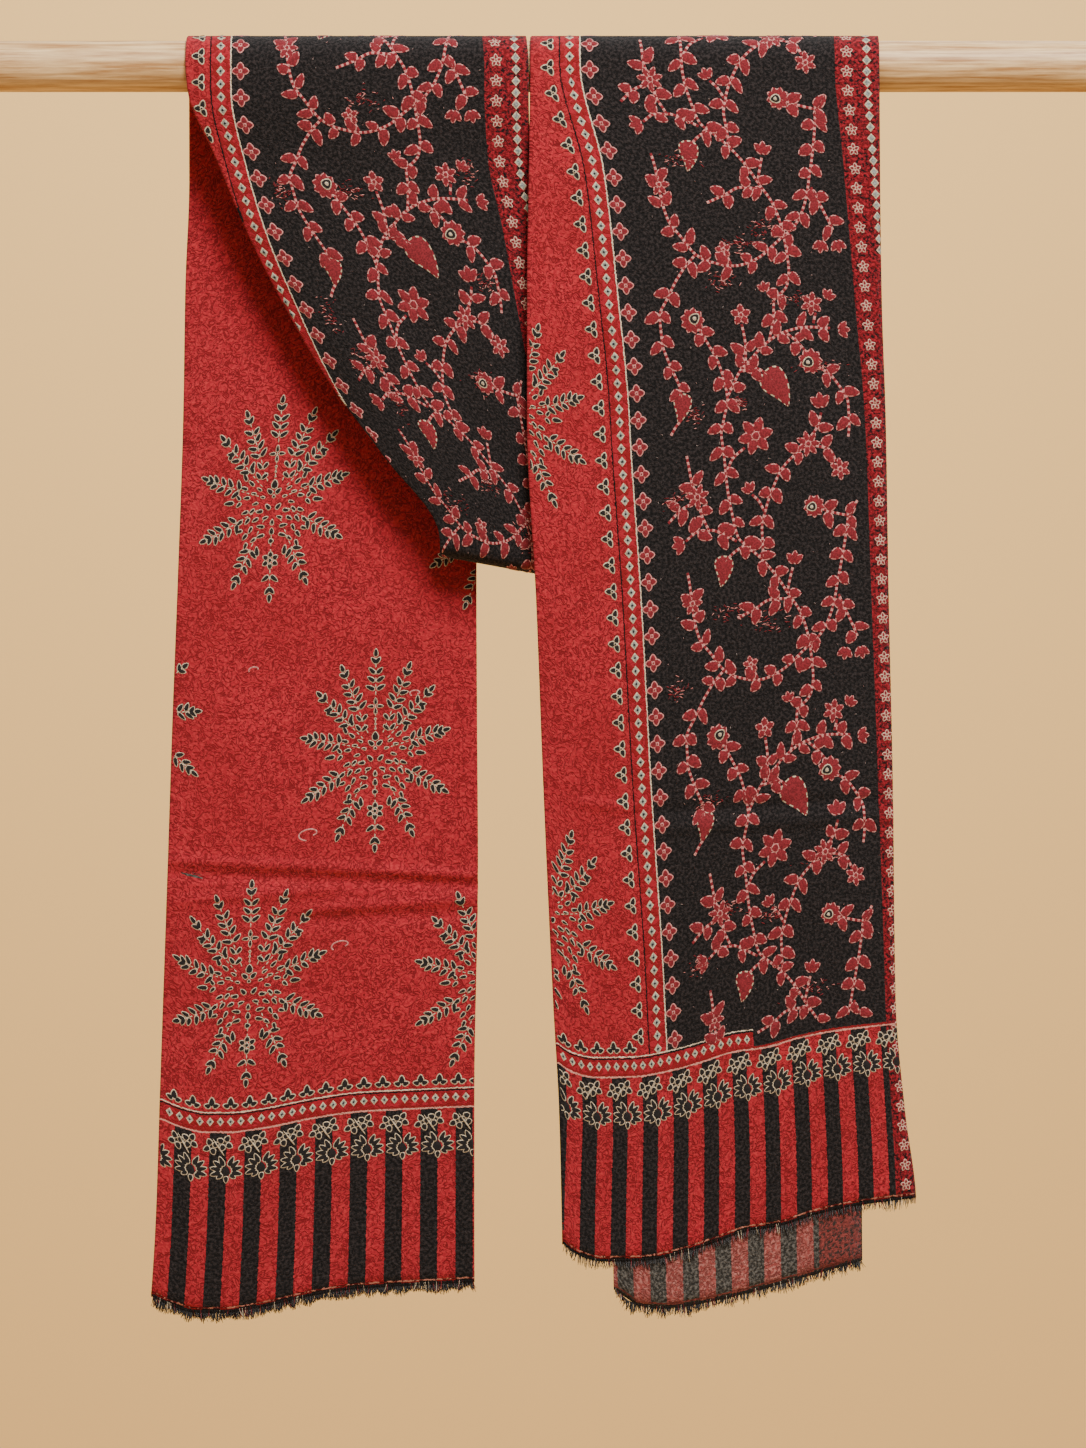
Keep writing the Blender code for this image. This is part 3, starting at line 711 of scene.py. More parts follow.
def patches(layer, outline, items, rim, couching, fill, raised=0.0, margin=0.0):
    """Domed patches: a rim of couched thread round each outline, and a filled middle. Returns points, faces
    and slots. couching holds the slots that take turns round the rim, and none lies within margin of a hem.
    """
    table = np.array(items)
    long, wide = table[:, 3, None, None] / 2, table[:, 4, None, None] / 2
    shape = outline[None] * np.concatenate([long, wide], axis=2)
    reach = np.linalg.norm(shape, axis=-1, keepdims=True)
    inner = shape * np.clip(1 - rim / reach, 0.15, None)
    local = np.concatenate([shape, inner, np.zeros_like(shape[:, :1])], axis=1)
    cos, sin = np.cos(table[:, 2, None]), np.sin(table[:, 2, None])
    across = table[:, 0, None] + local[..., 0] * cos - local[..., 1] * sin
    length = table[:, 1, None] + local[..., 0] * sin + local[..., 1] * cos
    count = len(outline)
    lift = raised + np.concatenate([np.full(count, RIM_LIFT), np.full(count, EDGE_LIFT), [TOP_LIFT]])
    points, on_layer = on_cloth(layer, across, length, np.broadcast_to(lift, across.shape))
    keep = on_layer[:, -1] & (abs(length[:, -1] - CLOTH_LENGTH / 2) < CLOTH_LENGTH / 2 - margin)
    here = np.arange(count)
    after = (here + 1) % count
    band = np.stack([here, here + count, after + count, after], axis=1)
    fan = np.stack([here + count, np.full(count, 2 * count), after + count], axis=1)
    base = (np.arange(keep.sum()) * (2 * count + 1))[:, None, None]
    faces = [(base + band).reshape(-1, 4), (base + fan).reshape(-1, 3)]
    around = np.array(couching)[here % len(couching)]
    slots = np.concatenate([np.tile(around, keep.sum()), np.full(count * keep.sum(), fill)])
    return points[keep].reshape(-1, 3), faces, slots


def stem_line(points):
    """Evenly spaced points of a smooth curve through a few."""
    points = np.array(points, float)
    ways = np.concatenate([[0.0], np.cumsum(np.hypot(*np.diff(points, axis=0).T))])
    return smooth(np.linspace(0, ways[-1], max(int(ways[-1] / STITCH), 3)), ways, points)


def ribbons(layer, lines, width, couching, margin):
    """Ridged ribbons along lines of (across, length, angle), whose stitches take turns between slots."""
    points, faces, slots, first = [], [], [], 0
    for across, length, angle in lines:
        off = np.array([-0.5, 0.0, 0.5]) * width
        right, up = -off * np.sin(angle)[:, None], off * np.cos(angle)[:, None]
        spread = across[:, None] + right, length[:, None] + up
        lift = np.broadcast_to([RIM_LIFT, TOP_LIFT, RIM_LIFT], spread[0].shape)
        line, on_layer = on_cloth(layer, *spread, lift)
        quads = grid_faces(len(across), 3).reshape(-1, 2, 4)
        whole = on_layer[:, 1] & (abs(length - CLOTH_LENGTH / 2) < CLOTH_LENGTH / 2 - margin)
        whole = whole[:-1] & whole[1:]
        faces.append(quads[whole].reshape(-1, 4)[:, ::-1] + first)
        turns = np.array(couching)[np.arange(len(across) - 1) % len(couching)]
        slots.append(np.repeat(turns[whole], 2))
        points.append(line.reshape(-1, 3))
        first += line.size // 3
    return np.concatenate(points), [np.concatenate(faces)], np.concatenate(slots)


def embroidery(name, parts):
    """Patches and ribbons joined as one piece: faces count on from the points of the parts before them."""
    points, kinds, slots = zip(*parts)
    firsts = np.cumsum([0, *map(len, points)])
    faces = []
    for first, arrays in zip(firsts, kinds):
        for array in arrays:
            faces += (array + first).tolist()
    made = new_piece(name, np.concatenate(points), faces, THREADS, np.concatenate(slots))
    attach(made, "root")
    return made


YARN_GRAIN = 0.9 * MM  # about a stitch's width


def wool_thread(name, code, deeper):
    """Twisted wool yarn: dull, in two tones by stitch-sized grains, with a fine bump like its plies."""
    made, tree, shader = finish_named(name, 0.85, sheen=0.2)
    shader.inputs["Specular IOR Level"].default_value = 0.25
    place = add(tree, "TexCoord", {})
    grain = add(tree, "TexNoise", {"Vector": (place, "Object"), "Scale": 1 / YARN_GRAIN, "Detail": 2.0})
    tone = add(tree, "ValToRGB", {"Fac": grain})
    for stop, at, shade in zip((0, 1), (0.38, 0.62), (deeper, code)):
        tone.color_ramp.elements[stop].position = at
        tone.color_ramp.elements[stop].color = hex_colour(shade)
    tree.links.new(tone.outputs[0], shader.inputs["Base Color"])
    bump = add(tree, "Bump", {"Height": grain, "Strength": 0.5, "Distance": 0.25 * MM})
    tree.links.new(bump.outputs[0], shader.inputs["Normal"])
    return made


THREADS = [
    wool_thread(name + " wool thread", code, deeper)
    for name, code, deeper in (
        ("red", "#862028", "#651218"),
        ("pink", "#D2938A", "#B0655F"),
        ("cream", "#D3C1A3", "#A08B6E"),
        ("black", "#201A19", "#100C0B"),
        ("pale grey", "#9FA198", "#666C67"),
        ("maroon", "#7A1519", "#540C10"),
    )
]
RED, PINK, CREAM, BLACK, GREY, MAROON = range(len(THREADS))
STITCH = 1.5  # millimetres between stitches of a stem
REPEAT = 228.0
FIELD_CHART = 165.2  # the chart's left side, from the selvedge
CHART_FIT = 0.97
LEAF_LONG, LEAF_WIDE = 9.0, 6.0
LEAF_SPACING = 13.0
LEAF_SPREAD = math.radians(52)
VINE_START = 508 * MM  # height of one repeat's top above the front hem
VINE_MARGIN = 106 * MM  # no stitch of the vines lies nearer a hem

# Stems, as points of the chart in millimetres, and whether they bear leaves
STEMS = (
    (((36, -13), (30, -4), (24, 6), (24, 20), (26, 28), (29, 36), (32, 44), (33, 50)), True),
    (((32, 62), (28, 66), (25, 70)), False),
    (((44, 10), (48, 15), (53, 24), (57, 32), (60, 44), (61, 52), (58, 64), (56, 72), (57, 84), (58, 102),
      (60, 116), (63, 129), (68, 134), (76, 141), (86, 153), (93, 164), (99, 173), (103, 184), (105, 196),
      (106, 210), (104, 220), (95, 228)), True),
    (((95, 0), (94, 9), (90, 22)), True),
    (((61, 52), (66, 44), (70, 38), (77, 32), (87, 24), (100, 18), (113, 16), (128, 17)), True),
    (((74, 34), (75, 22), (74, 12)), True),
    (((70, 38), (80, 37), (88, 42)), True),
    (((100, 18), (107, 24), (112, 30)), True),
    (((117, 38), (124, 42), (130, 49), (135, 59), (135, 70), (134, 78)), True),
    (((58, 93), (62, 86), (70, 80)), False),
    (((118, 14), (120, 8)), False),
    (((112, 82), (122, 85), (126, 92)), True),
    (((110, 78), (115, 72), (118, 64)), True),
    (((109, 81), (100, 87), (92, 94), (86, 104), (81, 115), (78, 126), (78, 141)), True),
    (((80, 116), (77, 110), (73, 106)), False),
    (((39, 105), (36, 96), (35, 89), (34, 82)), True),
    (((39, 107), (41, 115), (45, 124)), True),
    (((36, 108), (30, 110), (20, 117)), True),
    (((30, 128), (38, 124), (46, 124), (54, 127), (62, 131)), True),
    (((111, 116), (122, 120), (132, 122), (138, 114)), True),
    (((132, 122), (130, 133), (128, 142), (124, 158), (120, 173), (113, 186), (100, 196), (86, 205),
      (73, 208), (57, 205), (50, 201), (42, 191), (35, 181), (32, 166), (31, 152), (30, 145)), True),
    (((93, 166), (81, 165), (71, 169), (60, 173)), True),
    (((68, 133), (60, 137), (54, 142)), False),
    (((124, 166), (131, 181), (135, 190)), True),
    (((92, 162), (94, 155), (96, 149)), False),
    (((71, 207), (69, 203), (67, 200)), False),
    (((50, 201), (44, 206), (36, 215)), True),
)
# Flowers: kind, x, y, radius and the way it faces in degrees
FLOWERS = (
    ("eyed", 44, 9, 7.4, 40), ("eyed", 114, 35, 7.4, 200), ("eyed", 111, 116, 6.6, 190),
    ("six", 77, 74, 10.4, 10), ("seven", 109, 81, 7.2, 0), ("seven", 39, 105, 7.2, 15),
    ("six", 32, 162, 6.2, 0), ("five", 74, 7, 6.0, 90), ("six", 118, 3, 6.6, 20), ("six", 128, 96, 6.2, 35),
    ("five", 67, 199, 4.8, 100), ("bud", 118, 60, 7.4, 95), ("bud", 134, 18, 6.0, 0),
    ("bud", 97, 146, 6.4, 80), ("bud", 72, 104, 5.6, 115), ("bud", 127, 197, 6.0, 260),
    ("bud", 137, 197, 6.0, 280), ("bud", 28, 129, 6.6, 190), ("paisley", 93, 48, 12.0, -52),
    ("paisley", 53, 147, 8.6, -92), ("paisley", 33, 56, 8.2, -96), ("bud", 90, 222, 5.0, 100),
    ("bud", 128, 228, 5.4, 60),
)


def flower_items(kind, across, length, radius, facing):
    """Petals as eggs set round the middle, each pointing outwards; a bud has three, spread like a fan."""
    reach = radius * MM
    if kind == "bud":
        angles = facing + np.radians([-48, 0, 48])
        long, wide, out = 1.15 * reach, 0.72 * reach, 0.45 * reach
    else:
        petals = {"five": 5, "six": 6, "seven": 7}[kind]
        angles = facing + np.arange(petals) * 2 * math.pi / petals
        long, wide, out = 0.86 * reach, 3.5 * reach / petals, 0.60 * reach
    return [
        Item(across + out * math.cos(angle), length + out * math.sin(angle), angle, long, wide)
        for angle in angles
    ]


def vines():
    """Every repeat's stems, leaves and flowers on the outer layer."""
    leaves, lines, eyed, eyes, pupils, hearts, horns = [], [], [], [], [], [], []
    jitter = np.random.default_rng(4)
    for number in range(-1, math.ceil(CLOTH_LENGTH / (REPEAT * MM)) + 1):
        top = VINE_START + number * REPEAT * MM
        for points, leafy in STEMS:
            line = stem_line(points)
            across, length = (FIELD_CHART - CHART_FIT * line[:, 0]) * MM, top - line[:, 1] * MM
            angle = np.arctan2(np.gradient(length), np.gradient(across))
            lines.append((across, length, angle))
            if not leafy:
                continue
            step = round(LEAF_SPACING / STITCH)
            for place in range(step // 2, len(across) - 2, step):
                for hand in (-1, 1):
                    long = LEAF_LONG * jitter.uniform(0.8, 1.12) * MM
                    turned = angle[place] + hand * LEAF_SPREAD * jitter.uniform(0.8, 1.2)
                    spot = place + hand * jitter.integers(0, 2)
                    out = long * 0.52 + 0.5 * MM
                    x, y = across[spot] + out * math.cos(turned), length[spot] + out * math.sin(turned)
                    leaves.append(Item(x, y, turned, long, LEAF_WIDE * jitter.uniform(0.85, 1.1) * MM))
        for kind, x, y, radius, facing in FLOWERS:
            across, length = (FIELD_CHART - CHART_FIT * x) * MM, top - y * MM
            facing = math.pi - math.radians(facing)
            if kind == "eyed":
                eyed.append(Item(across, length, facing, 2 * radius * MM, 2 * radius * MM))
                aside = 0.25 * radius * MM
                spot = across + aside * math.cos(facing), length + aside * math.sin(facing)
                eyes.append(Item(*spot, facing, 0.95 * radius * MM, 0.8 * radius * MM))
                pupils.append(Item(*spot, facing, 0.32 * radius * MM, 0.32 * radius * MM))
            elif kind == "paisley":
                horns.append(Item(across, length, facing, 2 * radius * MM, 1.15 * radius * MM))
            else:
                leaves.extend(flower_items(kind, across, length, radius, facing))
                if kind != "bud":
                    hearts.append(Item(across, length, 0.0, 0.5 * radius * MM, 0.5 * radius * MM))
    parts = [ribbons(OUTER, lines, 1.5 * MM, (RED, PINK), VINE_MARGIN)]
    # Outline, items, rim in millimetres, threads round it, filling, and how far it is raised
    for outline, items, rim, couching, fill, raised in (
        (egg(15), leaves, 0.6, (PINK, PINK, RED), RED, 0.0),
        (scalloped(36, 9), eyed, 0.65, (PINK, PINK, RED), RED, 0.0),
        (paisley(28), horns, 0.8, (CREAM, RED), RED, 0.0),
        (egg(12), eyes, 0.6, (CREAM,), BLACK, 0.22),
        (egg(8), pupils, 0.5, (CREAM,), CREAM, 0.44),
        (egg(8), hearts, 0.5, (PINK,), RED, 0.22),
    ):
        parts.append(patches(OUTER, outline, items, rim * MM, couching, fill, raised * MM, VINE_MARGIN))
    return parts


vine_work = embroidery("vine_embroidery", vines())

# Borders: flowers, diamonds and leaves in wool satin stitch, worked in rows beside the selvedge, between the
# black and the red, and across each end above the stripes. Cream or pink thread goes round each filling.
DIAMOND = np.array([[1.0, 0.0], [0.0, 1.0], [-1.0, 0.0], [0.0, -1.0]])
ONE, THREE = [0.0], [0.0, 1.9, -1.9]
FOUR, FIVE = np.arange(4) * math.pi / 2, np.arange(5) * 2 * math.pi / 5
EIGHT = np.radians([-104, -78, -52, -26, 26, 52, 78, 104])
# One motif, in millimetres: the way it faces, its petals' angles from there, how far out they stand, their
# length, width and outline, the rim's width and threads, the filling, and how far all of it is raised
Motif = namedtuple("Motif", "facing angles out long wide outline rim couching fill raised", defaults=[0.0])


def petals(across, length, facing, angles, out, long, wide):
    """Items set round each of many middles: every angle from the facing, out from the middle."""
    angles = np.asarray(angles)[None] + np.zeros_like(across)[:, None] + facing
    places = across[:, None] + out * np.cos(angles), length[:, None] + out * np.sin(angles)
    return np.stack(np.broadcast_arrays(*places, angles, long, wide), axis=-1).reshape(-1, 5)


def worked(layer, motif, across, length, facing=0.0):
    """One motif at each of many places on a layer."""
    sizes = motif.out * MM, motif.long * MM, motif.wide * MM
    items = petals(across, length, motif.facing + facing, motif.angles, *sizes)
    return patches(layer, motif.outline, items, motif.rim * MM, motif.couching, motif.fill, motif.raised * MM)


def side_borders():
    """Rows that run along the outer layer, beside the selvedge and between the black and the red."""
    end = END_BAND_TOP / MM
    parts = []
    # How far in the row lies, its pitch, how far from each end of the cloth it stops, and its motif
    for row, pitch, first, last, motif in (
        (18.1, 11.0, 8, 8, Motif(0.3, FIVE, 2.0, 3.3, 2.5, egg(8), 0.6, (PINK, CREAM), RED)),
        (7.1, 6.3, 5, 5, Motif(0.0, ONE, 0.0, 4.9, 5.6, DIAMOND, 0.9, (CREAM,), GREY)),
        (160.0, 14.5, end + 6, end, Motif(0.0, FOUR, 2.6, 4.8, 4.3, egg(10), 0.6, (PINK,), RED)),
        (160.0, 14.5, end + 6, end, Motif(0.0, ONE, 0.0, 2.2, 2.2, egg(8), 0.6, (PINK,), RED, 0.2)),
        (171.0, 7.0, end + 3, end, Motif(0.0, ONE, 0.0, 4.9, 5.6, DIAMOND, 0.95, (CREAM,), GREY)),
        (171.0, 7.0, end + 3, end, Motif(0.0, ONE, 0.0, 1.6, 1.6, DIAMOND, 0.1, (BLACK,), BLACK, 0.2)),
        (182.4, 14.0, end + 11, end + 8, Motif(0.0, THREE, 2.4, 4.9, 3.7, egg(10), 0.62, (CREAM,), BLACK)),
        (182.6, 14.0, end + 11, end + 8, Motif(0.0, ONE, 0.0, 2.4, 2.2, egg(8), 0.6, (CREAM,), BLACK, 0.15)),
    ):
        length = np.arange(first * MM, CLOTH_LENGTH - last * MM, pitch * MM)
        parts.append(worked(OUTER, motif, np.full_like(length, row * MM), length))
    return parts


def end_borders(layer):
    """Rows across both ends of one layer: leaves, diamonds, and to each stripe a palmette and two clusters."""
    hand = 1.0 if layer == OUTER else -1.0
    # The places that the row's motifs keep to, how far from the hem it lies, how far aside, and the motif
    rows = (
        ("leaf", 112.0, 0.0, Motif(0.0, [-1.35, 1.35], 2.4, 4.4, 3.4, egg(10), 0.55, (CREAM,), BLACK)),
        ("leaf", 112.0, 0.0, Motif(0.0, ONE, 2.7, 5.6, 4.0, egg(10), 0.55, (CREAM,), BLACK)),
        ("diamond", 103.9, 0.0, Motif(0.0, ONE, 0.0, 5.0, 4.0, DIAMOND, 0.85, (CREAM,), GREY)),
        ("diamond", 103.9, 0.0, Motif(0.0, ONE, 0.0, 1.3, 1.3, DIAMOND, 0.1, (BLACK,), BLACK, 0.2)),
        ("stripe", 77.0, 0.0, Motif(0.0, EIGHT, 5.9, 6.6, 3.2, egg(10), 0.5, (CREAM,), BLACK)),
        ("stripe", 77.0, 0.0, Motif(math.pi, [-0.9, 0.0, 0.9], 4.6, 4.4, 3.1, egg(10), 0.5, (CREAM,), BLACK)),
        ("stripe", 77.0, 0.0, Motif(0.0, ONE, 0.0, 5.4, 4.2, egg(12), 0.4, (BLACK,), BLACK, 0.1)),
        ("stripe", 92.2, 1.0, Motif(0.5, FOUR, 2.8, 4.4, 3.7, egg(8), 0.5, (CREAM,), BLACK)),
        ("stripe", 90.4, 8.4, Motif(-0.4, FOUR, 2.8, 4.4, 3.7, egg(8), 0.5, (CREAM,), BLACK)),
        ("stripe", 90.0, 4.4, Motif(hand * 0.6, ONE, 0.0, 12.0, 0.8, egg(10), 0.3, (CREAM,), CREAM, 0.15)),
    )
    parts = []
    for at_back, phase, up in ((False, 0.0, math.pi / 2), (True, BACK_PHASE, -math.pi / 2)):
        shift = STRIPE_BLACK if layer == BACK else 0.0
        places = {
            "leaf": np.arange(189 * MM, 440 * MM, 10.4 * MM),
            "diamond": np.arange(114 * MM, 440 * MM, 5.6 * MM),
            "stripe": (np.arange(1, 24) - phase + shift) * STRIPE_PITCH,
        }
        for kind, from_hem, aside, motif in rows:
            across = places[kind] + hand * aside * MM
            row = CLOTH_LENGTH - from_hem * MM if at_back else from_hem * MM
            parts.append(worked(layer, motif, across, np.full_like(across, row), up))
    return parts


border_work = embroidery("border_embroidery", side_borders() + end_borders(OUTER) + end_borders(BACK))

# Medallions: tall stars of twelve leafy sprays on the red ground, worked in black wool with a cream outline
# round each leaf. They stand in staggered columns, and the folds cut some of them off.
MEDALLION_WIDE, MEDALLION_TALL = 40.0 * MM, 55.0 * MM  # from the middle to the tips
# Places as (across, from the nearer hem), millimetres
FRONT_MEDALLIONS = ((234, 450), (236, 180), (302, 315), (370, 450), (370, 180), (302, 575))
BACK_MEDALLIONS = ((307, 442), (301, 178), (369, 298), (441, 424), (435, 169), (228, 315))
# One side's sprays, from the top down: the tip as shares of the half width and height, and where leaves begin
SPRAYS = (
    (0.0, 1.0, 0.62), (0.48, 0.86, 0.50), (0.80, 0.62, 0.46), (1.0, 0.20, 0.50), (0.98, -0.42, 0.52),
    (0.52, -0.84, 0.58), (0.0, -0.98, 0.76),
)
LEAF_PAIR = 4.4 * MM  # from one pair of leaves to the next
# One side of the middle, mirrored: each leaf's place, heading in degrees, length and width, millimetres
MIDDLE = (
    (0, 8.6, 90, 5.6, 4.2), (2.4, 4.8, 40, 4.6, 3.0), (0, 2.0, 90, 2.4, 2.2), (0, 22.6, 90, 4.4, 2.2),
    (0, 28.0, 90, 4.4, 2.4), (2.7, 25.2, 0, 4.2, 2.2), (0, 18.2, 90, 1.8, 1.6), (0, 15.4, 90, 1.6, 1.4),
    (0, 12.8, 90, 1.4, 1.2), (6.2, 19.0, -52, 5.0, 2.6), (9.6, 19.0, 52, 5.0, 2.6),
    (6.2, 13.2, -45, 5.0, 2.7), (9.8, 13.6, 52, 5.0, 2.7), (13.6, 17.2, 72, 5.6, 2.6),
    (13.4, 9.6, 40, 4.8, 2.4), (17.2, 13.0, 65, 5.4, 2.6), (17.4, 6.8, 16, 4.8, 2.4),
    (8.6, 6.2, 30, 3.8, 1.9), (11.6, 4.0, 10, 3.6, 1.8), (6.4, 1.8, 12, 3.2, 1.8),
    (15.6, 1.6, -6, 4.4, 2.4), (20.4, 1.8, 52, 4.2, 2.4), (20.0, -2.2, -46, 4.2, 2.4),
    (25.6, -1.4, -6, 6.4, 3.0), (10.4, -1.6, -14, 4.0, 2.0), (3.0, -3.6, 48, 4.6, 2.8),
    (7.6, -6.0, -10, 4.4, 2.6), (12.0, -5.6, -40, 4.2, 2.2), (16.0, -6.4, -22, 4.6, 2.4),
    (4.0, -9.6, 160, 4.0, 2.2), (9.8, -10.4, -30, 4.6, 2.4), (14.4, -11.0, -55, 4.8, 2.4),
    (18.8, -12.0, -40, 4.6, 2.6), (0, -12.2, 90, 3.8, 2.6), (6.6, -14.2, 8, 5.2, 2.4),
    (12.4, -15.8, -64, 4.6, 2.3), (18.6, -16.6, -20, 4.2, 2.4), (0, -17.0, 90, 4.4, 3.0),
    (6.4, -19.4, -16, 5.4, 2.4), (15.4, -19.6, -52, 4.8, 2.6), (10.4, -21.4, -36, 4.2, 2.2),
    (0, -22.4, 0, 3.4, 3.2), (8.0, -27.6, 84, 6.0, 3.0), (26.4, 24.6, 108, 6.0, 2.8),
    (14.8, -24.6, -70, 4.6, 2.4),
)
ROSETTE_ROW = -33.0 * MM


def spray(across, up, begin, chance):
    """Leaves in pairs along the outer part of a spray, three more at its tip, and its stem's stitches."""
    reach, heading = math.hypot(across, up), math.atan2(up, across)
    leaves = []  # how far along, heading, how far out, length and width
    for pair in range(round((0.88 - begin) * reach / LEAF_PAIR)):
        for hand in (-1, 1):
            turned = heading + hand * (1.0 - 0.06 * pair) + chance.uniform(-0.14, 0.14)
            long = (6.0 - 0.18 * pair + chance.uniform(-0.4, 0.4)) * MM
            leaves.append((begin * reach + pair * LEAF_PAIR, turned, long / 2 + 0.3 * MM, long, 2.9 * MM))
    for apart, far in ((0.0, 0.97), (0.75, 0.90), (-0.75, 0.90)):
        leaves.append((far * reach, heading + apart, 1.6 * MM, 5.2 * MM, 3.0 * MM))
    items = []
    for along, turned, out, long, wide in leaves:
        x = along * math.cos(heading) + out * math.cos(turned)
        y = along * math.sin(heading) + out * math.sin(turned)
        items.append((x, y, turned, long, wide))
    shares = np.arange(0.24, 0.92, 0.07)
    stem = [(share * across, share * up, heading, reach * 0.05, 0.7 * MM) for share in shares]
    return items, stem


def medallion(chance):
    """One star's leaves and stems, in place round its middle, mirrored about its upright."""
    leaves, stems = [], []
    for side in (1, -1):
        for across, up, begin in SPRAYS:
            if across == 0.0 and side < 0:
                continue
            items, stem = spray(side * across * MEDALLION_WIDE, up * MEDALLION_TALL, begin, chance)
            leaves += items
            stems += stem
        for across, up, heading, long, wide in MIDDLE:
            if across == 0 and side < 0:
                continue
            angle = math.radians(heading if side > 0 else 180 - heading)
            leaves.append((side * across * MM, up * MM, angle, long * MM, wide * MM))
    six = np.arange(6) * math.pi / 3
    ring = petals(np.zeros(1), np.full(1, ROSETTE_ROW), 0.5, six, 3.3 * MM, 3.8 * MM, 3.2 * MM)
    leaves += [tuple(leaf) for leaf in ring]
    leaves.append((0.0, ROSETTE_ROW, 0.0, 2.8 * MM, 2.8 * MM))
    return np.array(leaves), np.array(stems)


def medallions():
    """Every star, on the layer that shows it: those at the back end stand the other way up."""
    chance = np.random.default_rng(12)
    leaves, stems = [], []
    for up, start, places in ((1.0, 0.0, FRONT_MEDALLIONS), (-1.0, CLOTH_LENGTH, BACK_MEDALLIONS)):
        for across, from_hem in places:
            middle_at = [across * MM, start + up * from_hem * MM, 0.0, 0.0, 0.0]
            for items, placed in zip(medallion(chance), (leaves, stems)):
                placed.append(items * [1.0, up, up, 1.0, 1.0] + middle_at)
    parts = []
    for layer in (OUTER, BACK):
        parts.append(patches(layer, egg(8), np.concatenate(leaves), 0.44 * MM, (CREAM,), BLACK))
        parts.append(patches(layer, egg(6), np.concatenate(stems), 0.3 * MM, (CREAM,), CREAM))
    return parts


medallion_work = embroidery("medallion_embroidery", medallions())

# Wear: pink and brown wool fibres rubbed up on the black in patches, specks of pale lint, and a few thread
# ends that have pulled loose in curls.
# Rubbed patches as (across, from the front hem, half width, half height) in millimetres
RUBBED = (
    (118, 588, 10, 5), (92, 540, 9, 4), (76, 548, 8, 5), (64, 508, 12, 4), (104, 520, 9, 5),
    (52, 470, 12, 3), (127, 448, 5, 5), (98, 452, 4, 3), (140, 402, 6, 4), (108, 338, 12, 4),
    (86, 330, 14, 5), (146, 300, 6, 5), (130, 236, 8, 4), (60, 196, 12, 3), (122, 178, 10, 4),
    (96, 170, 8, 3), (70, 124, 12, 4), (142, 150, 6, 5), (146, 1110, 5, 7), (138, 1085, 6, 6),
    (126, 1062, 6, 10), (40, 1130, 6, 5), (60, 1076, 7, 6), (118, 1004, 9, 7), (84, 1020, 8, 6),
    (38, 1190, 5, 6), (110, 1180, 9, 4), (66, 990, 7, 8), (92, 1230, 10, 4), (150, 1180, 4, 6),
)
FIBRES_PER_PATCH, FIBRE_WIDE = 42, 0.5 * MM
LINT, LINT_WIDE = 420, 0.35 * MM  # specks
FIBRE_LIFT = 0.02 * MM
# Curls of loose thread on the back layer: middle (across, from the back hem) and size in millimetres
LOOSE_CURLS = ((333, 256, 7.5), (352, 192, 6.5), (300, 350, 4.0), (392, 330, 4.0))


def wear():
    """Fibres in a bell round each rubbed patch, lint spread evenly, and curls: arcs of shrinking circles."""
    chance = np.random.default_rng(21)
    rubbed = np.repeat(np.array(RUBBED) * MM, FIBRES_PER_PATCH, axis=0)
    count = len(rubbed)
    across = rubbed[:, 0] + rubbed[:, 2] * chance.normal(0, 0.6, count)
    length = rubbed[:, 1] + rubbed[:, 3] * chance.normal(0, 0.6, count)
    angle = chance.normal(0, 0.5, count)
    long = chance.uniform(1.2, 3.2, count) * MM
    fibres = np.stack([across, length, angle, long, np.full(count, FIBRE_WIDE)], axis=1)
    across = chance.uniform(SELVEDGE_END, FIELD_END - 12 * MM, LINT)
    length = chance.uniform(END_LINE, CLOTH_LENGTH, LINT)
    angle = chance.uniform(0, math.pi, LINT)
    long = chance.uniform(0.5, 1.6, LINT) * MM
    lint = np.stack([across, length, angle, long, np.full(LINT, LINT_WIDE)], axis=1)
    curls = []
    for middle_across, from_hem, size in LOOSE_CURLS:
        turn = np.linspace(chance.uniform(0, 3), chance.uniform(6, 8), 26)
        reach = size * MM * np.linspace(1.0, 0.35, 26)
        x = middle_across * MM + reach * np.cos(turn)
        y = CLOTH_LENGTH - from_hem * MM + 0.5 * reach * np.sin(turn)
        curls.append((x, y, np.arctan2(np.gradient(y), np.gradient(x))))
    parts = []
    for first, thread in enumerate((PINK, MAROON, RED)):
        parts.append(patches(OUTER, egg(6), fibres[first::3], 0.2 * MM, (thread,), thread, FIBRE_LIFT))
    parts.append(patches(OUTER, egg(6), lint, 0.1 * MM, (PINK,), GREY, FIBRE_LIFT, END_LINE))
    parts.append(ribbons(BACK, curls, 0.8 * MM, (PINK,), 0.0))
    return parts


wear_work = embroidery("rubbed_fibres", wear())

# Fringe: both cut ends are frayed. Black and brown weft threads, with a few cream and red ones, hang past the
# last stitched line of every layer. Nothing binds them but the weave.
FRINGE_SPACING = 0.5 * MM
FRINGE_SPAN = 200 * MM  # the packet's width, about
FRINGE_THREAD = 0.8 * MM
FRINGE_ROOT = 1.4 * MM  # how far inside the cut edge a thread starts
FRINGE_SHORT, FRINGE_LONG = 2.8 * MM, 5.4 * MM


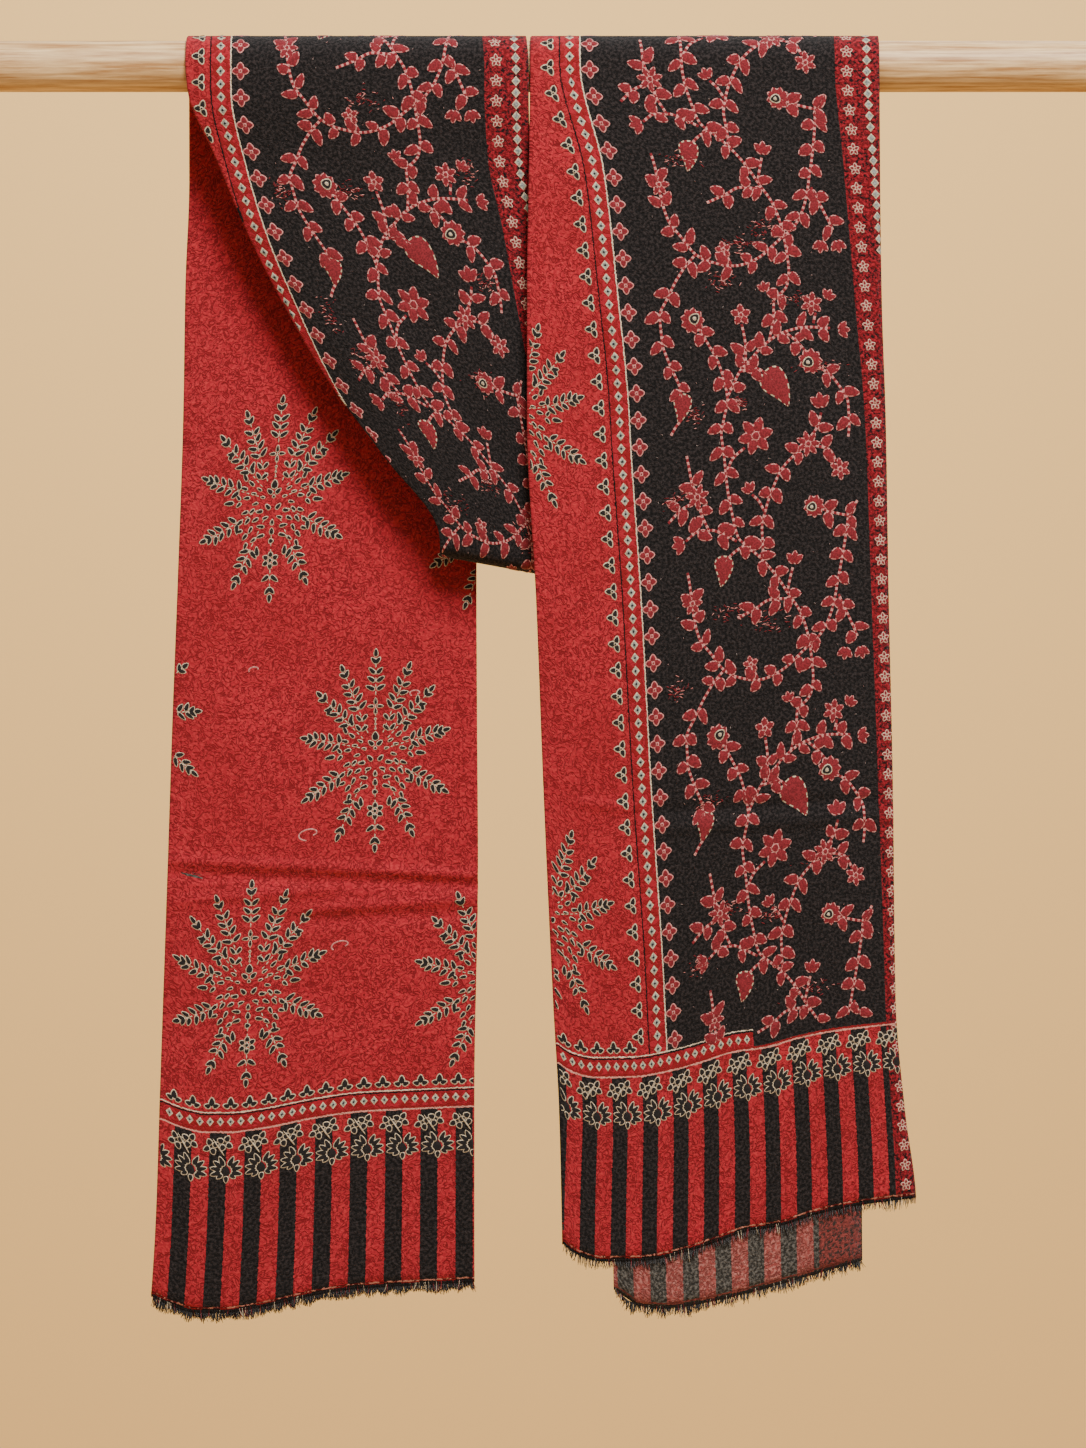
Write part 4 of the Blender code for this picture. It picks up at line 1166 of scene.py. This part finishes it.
def fringe(name, stretch, seed, hems):
    """Three-sided tubes that leave each layer's edge, hang down, sway and taper, all found as one array."""
    chance = np.random.default_rng(seed)
    sign = -1.0 if stretch == "front tail" else 1.0
    along = np.linspace(0, 1, 5)
    lines, colours = [], []
    for table, out, low, high in hems:
        share = np.arange(low, high, FRINGE_SPACING / FRINGE_SPAN)
        count = len(share)
        share = share + chance.uniform(-0.5, 0.5, count) * FRINGE_SPACING / FRINGE_SPAN
        share = np.clip(share, low, high)
        # Threads hang in clumps: two sines of the place along the edge set their length and lean
        clump = 0.5 + 0.5 * np.sin(share * 90 + 3 * np.sin(share * 23 + seed))
        drop = chance.uniform(FRINGE_SHORT, FRINGE_LONG, count) * (0.65 + 0.5 * clump)
        lean = chance.normal(0, 0.9 * MM, count) + 0.8 * MM * np.cos(share * 90)
        below = along * (drop[:, None] + FRINGE_ROOT) - FRINGE_ROOT
        way = hem_way(table, share, stretch)[:, None] + sign * below
        width = levels(way).right - levels(way).left
        inset = PACKET * (1 - 2 * share[:, None])
        across = share[:, None] + (inset + lean[:, None] * along**1.6) / width
        outwards = out * PITCH + chance.normal(0, 0.6 * MM, count)[:, None] * along**2
        lines.append(on_packet(way, across, outwards))
        colours.append(chance.choice([BLACK, MAROON, CREAM, RED], count, p=[0.86, 0.07, 0.04, 0.03]))
    lines, colours = np.concatenate(lines), np.concatenate(colours)
    steps, sides = lines.shape[1], 3
    turn = np.arange(sides) * 2 * math.pi / sides
    taper = np.linspace(1.0, 0.35, steps)[None, :, None, None] * FRINGE_THREAD / 2
    points = lines[:, :, None] + taper * np.stack([np.cos(turn), np.sin(turn), np.zeros(sides)], axis=-1)
    corner = np.arange(steps * sides).reshape(steps, sides)
    after = np.roll(corner, -1, axis=1)
    tube = np.stack([corner[1:], after[1:], after[:-1], corner[:-1]], axis=-1).reshape(-1, 4)
    base = (np.arange(len(lines)) * steps * sides)[:, None, None]
    ends = [*(base[:, 0] + corner[0]).tolist(), *(base[:, 0] + corner[-1][::-1]).tolist()]
    slots = np.concatenate([np.repeat(colours, len(tube)), colours, colours])
    made = new_piece(name, points, (base + tube).reshape(-1, 4).tolist() + ends, THREADS, slots)
    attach(made, "root")
    return made


# Each layer's cut edge, how far out it lies in steps of PITCH, and where along the edge it starts and ends
FRONT_EDGES = (
    (FRONT_HEM, 1.5, 0.0, 1.0),
    (BACK_LAYER_HEM, -1.5, 0.0, HEM_INNER_RIGHT),
    (INNER_HEM, -0.5, HEM_INNER_LEFT, HEM_INNER_RIGHT),
    (INNER_HEM, 0.5, HEM_INNER_LEFT, HEM_INNER_RIGHT),
)
BACK_EDGES = (
    (BACK_HEM, 1.5, 0.0, OUTER_TUCK),
    *((BACK_HEM, out, 0.0, INNER_RIGHT) for out in (-1.5, -0.5, 0.5)),
)
front_fringe = fringe("front_fringe", "front tail", 7, FRONT_EDGES)
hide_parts("fringe_front")
back_fringe = fringe("back_fringe", "back tail", 9, BACK_EDGES)
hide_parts("fringe_back")
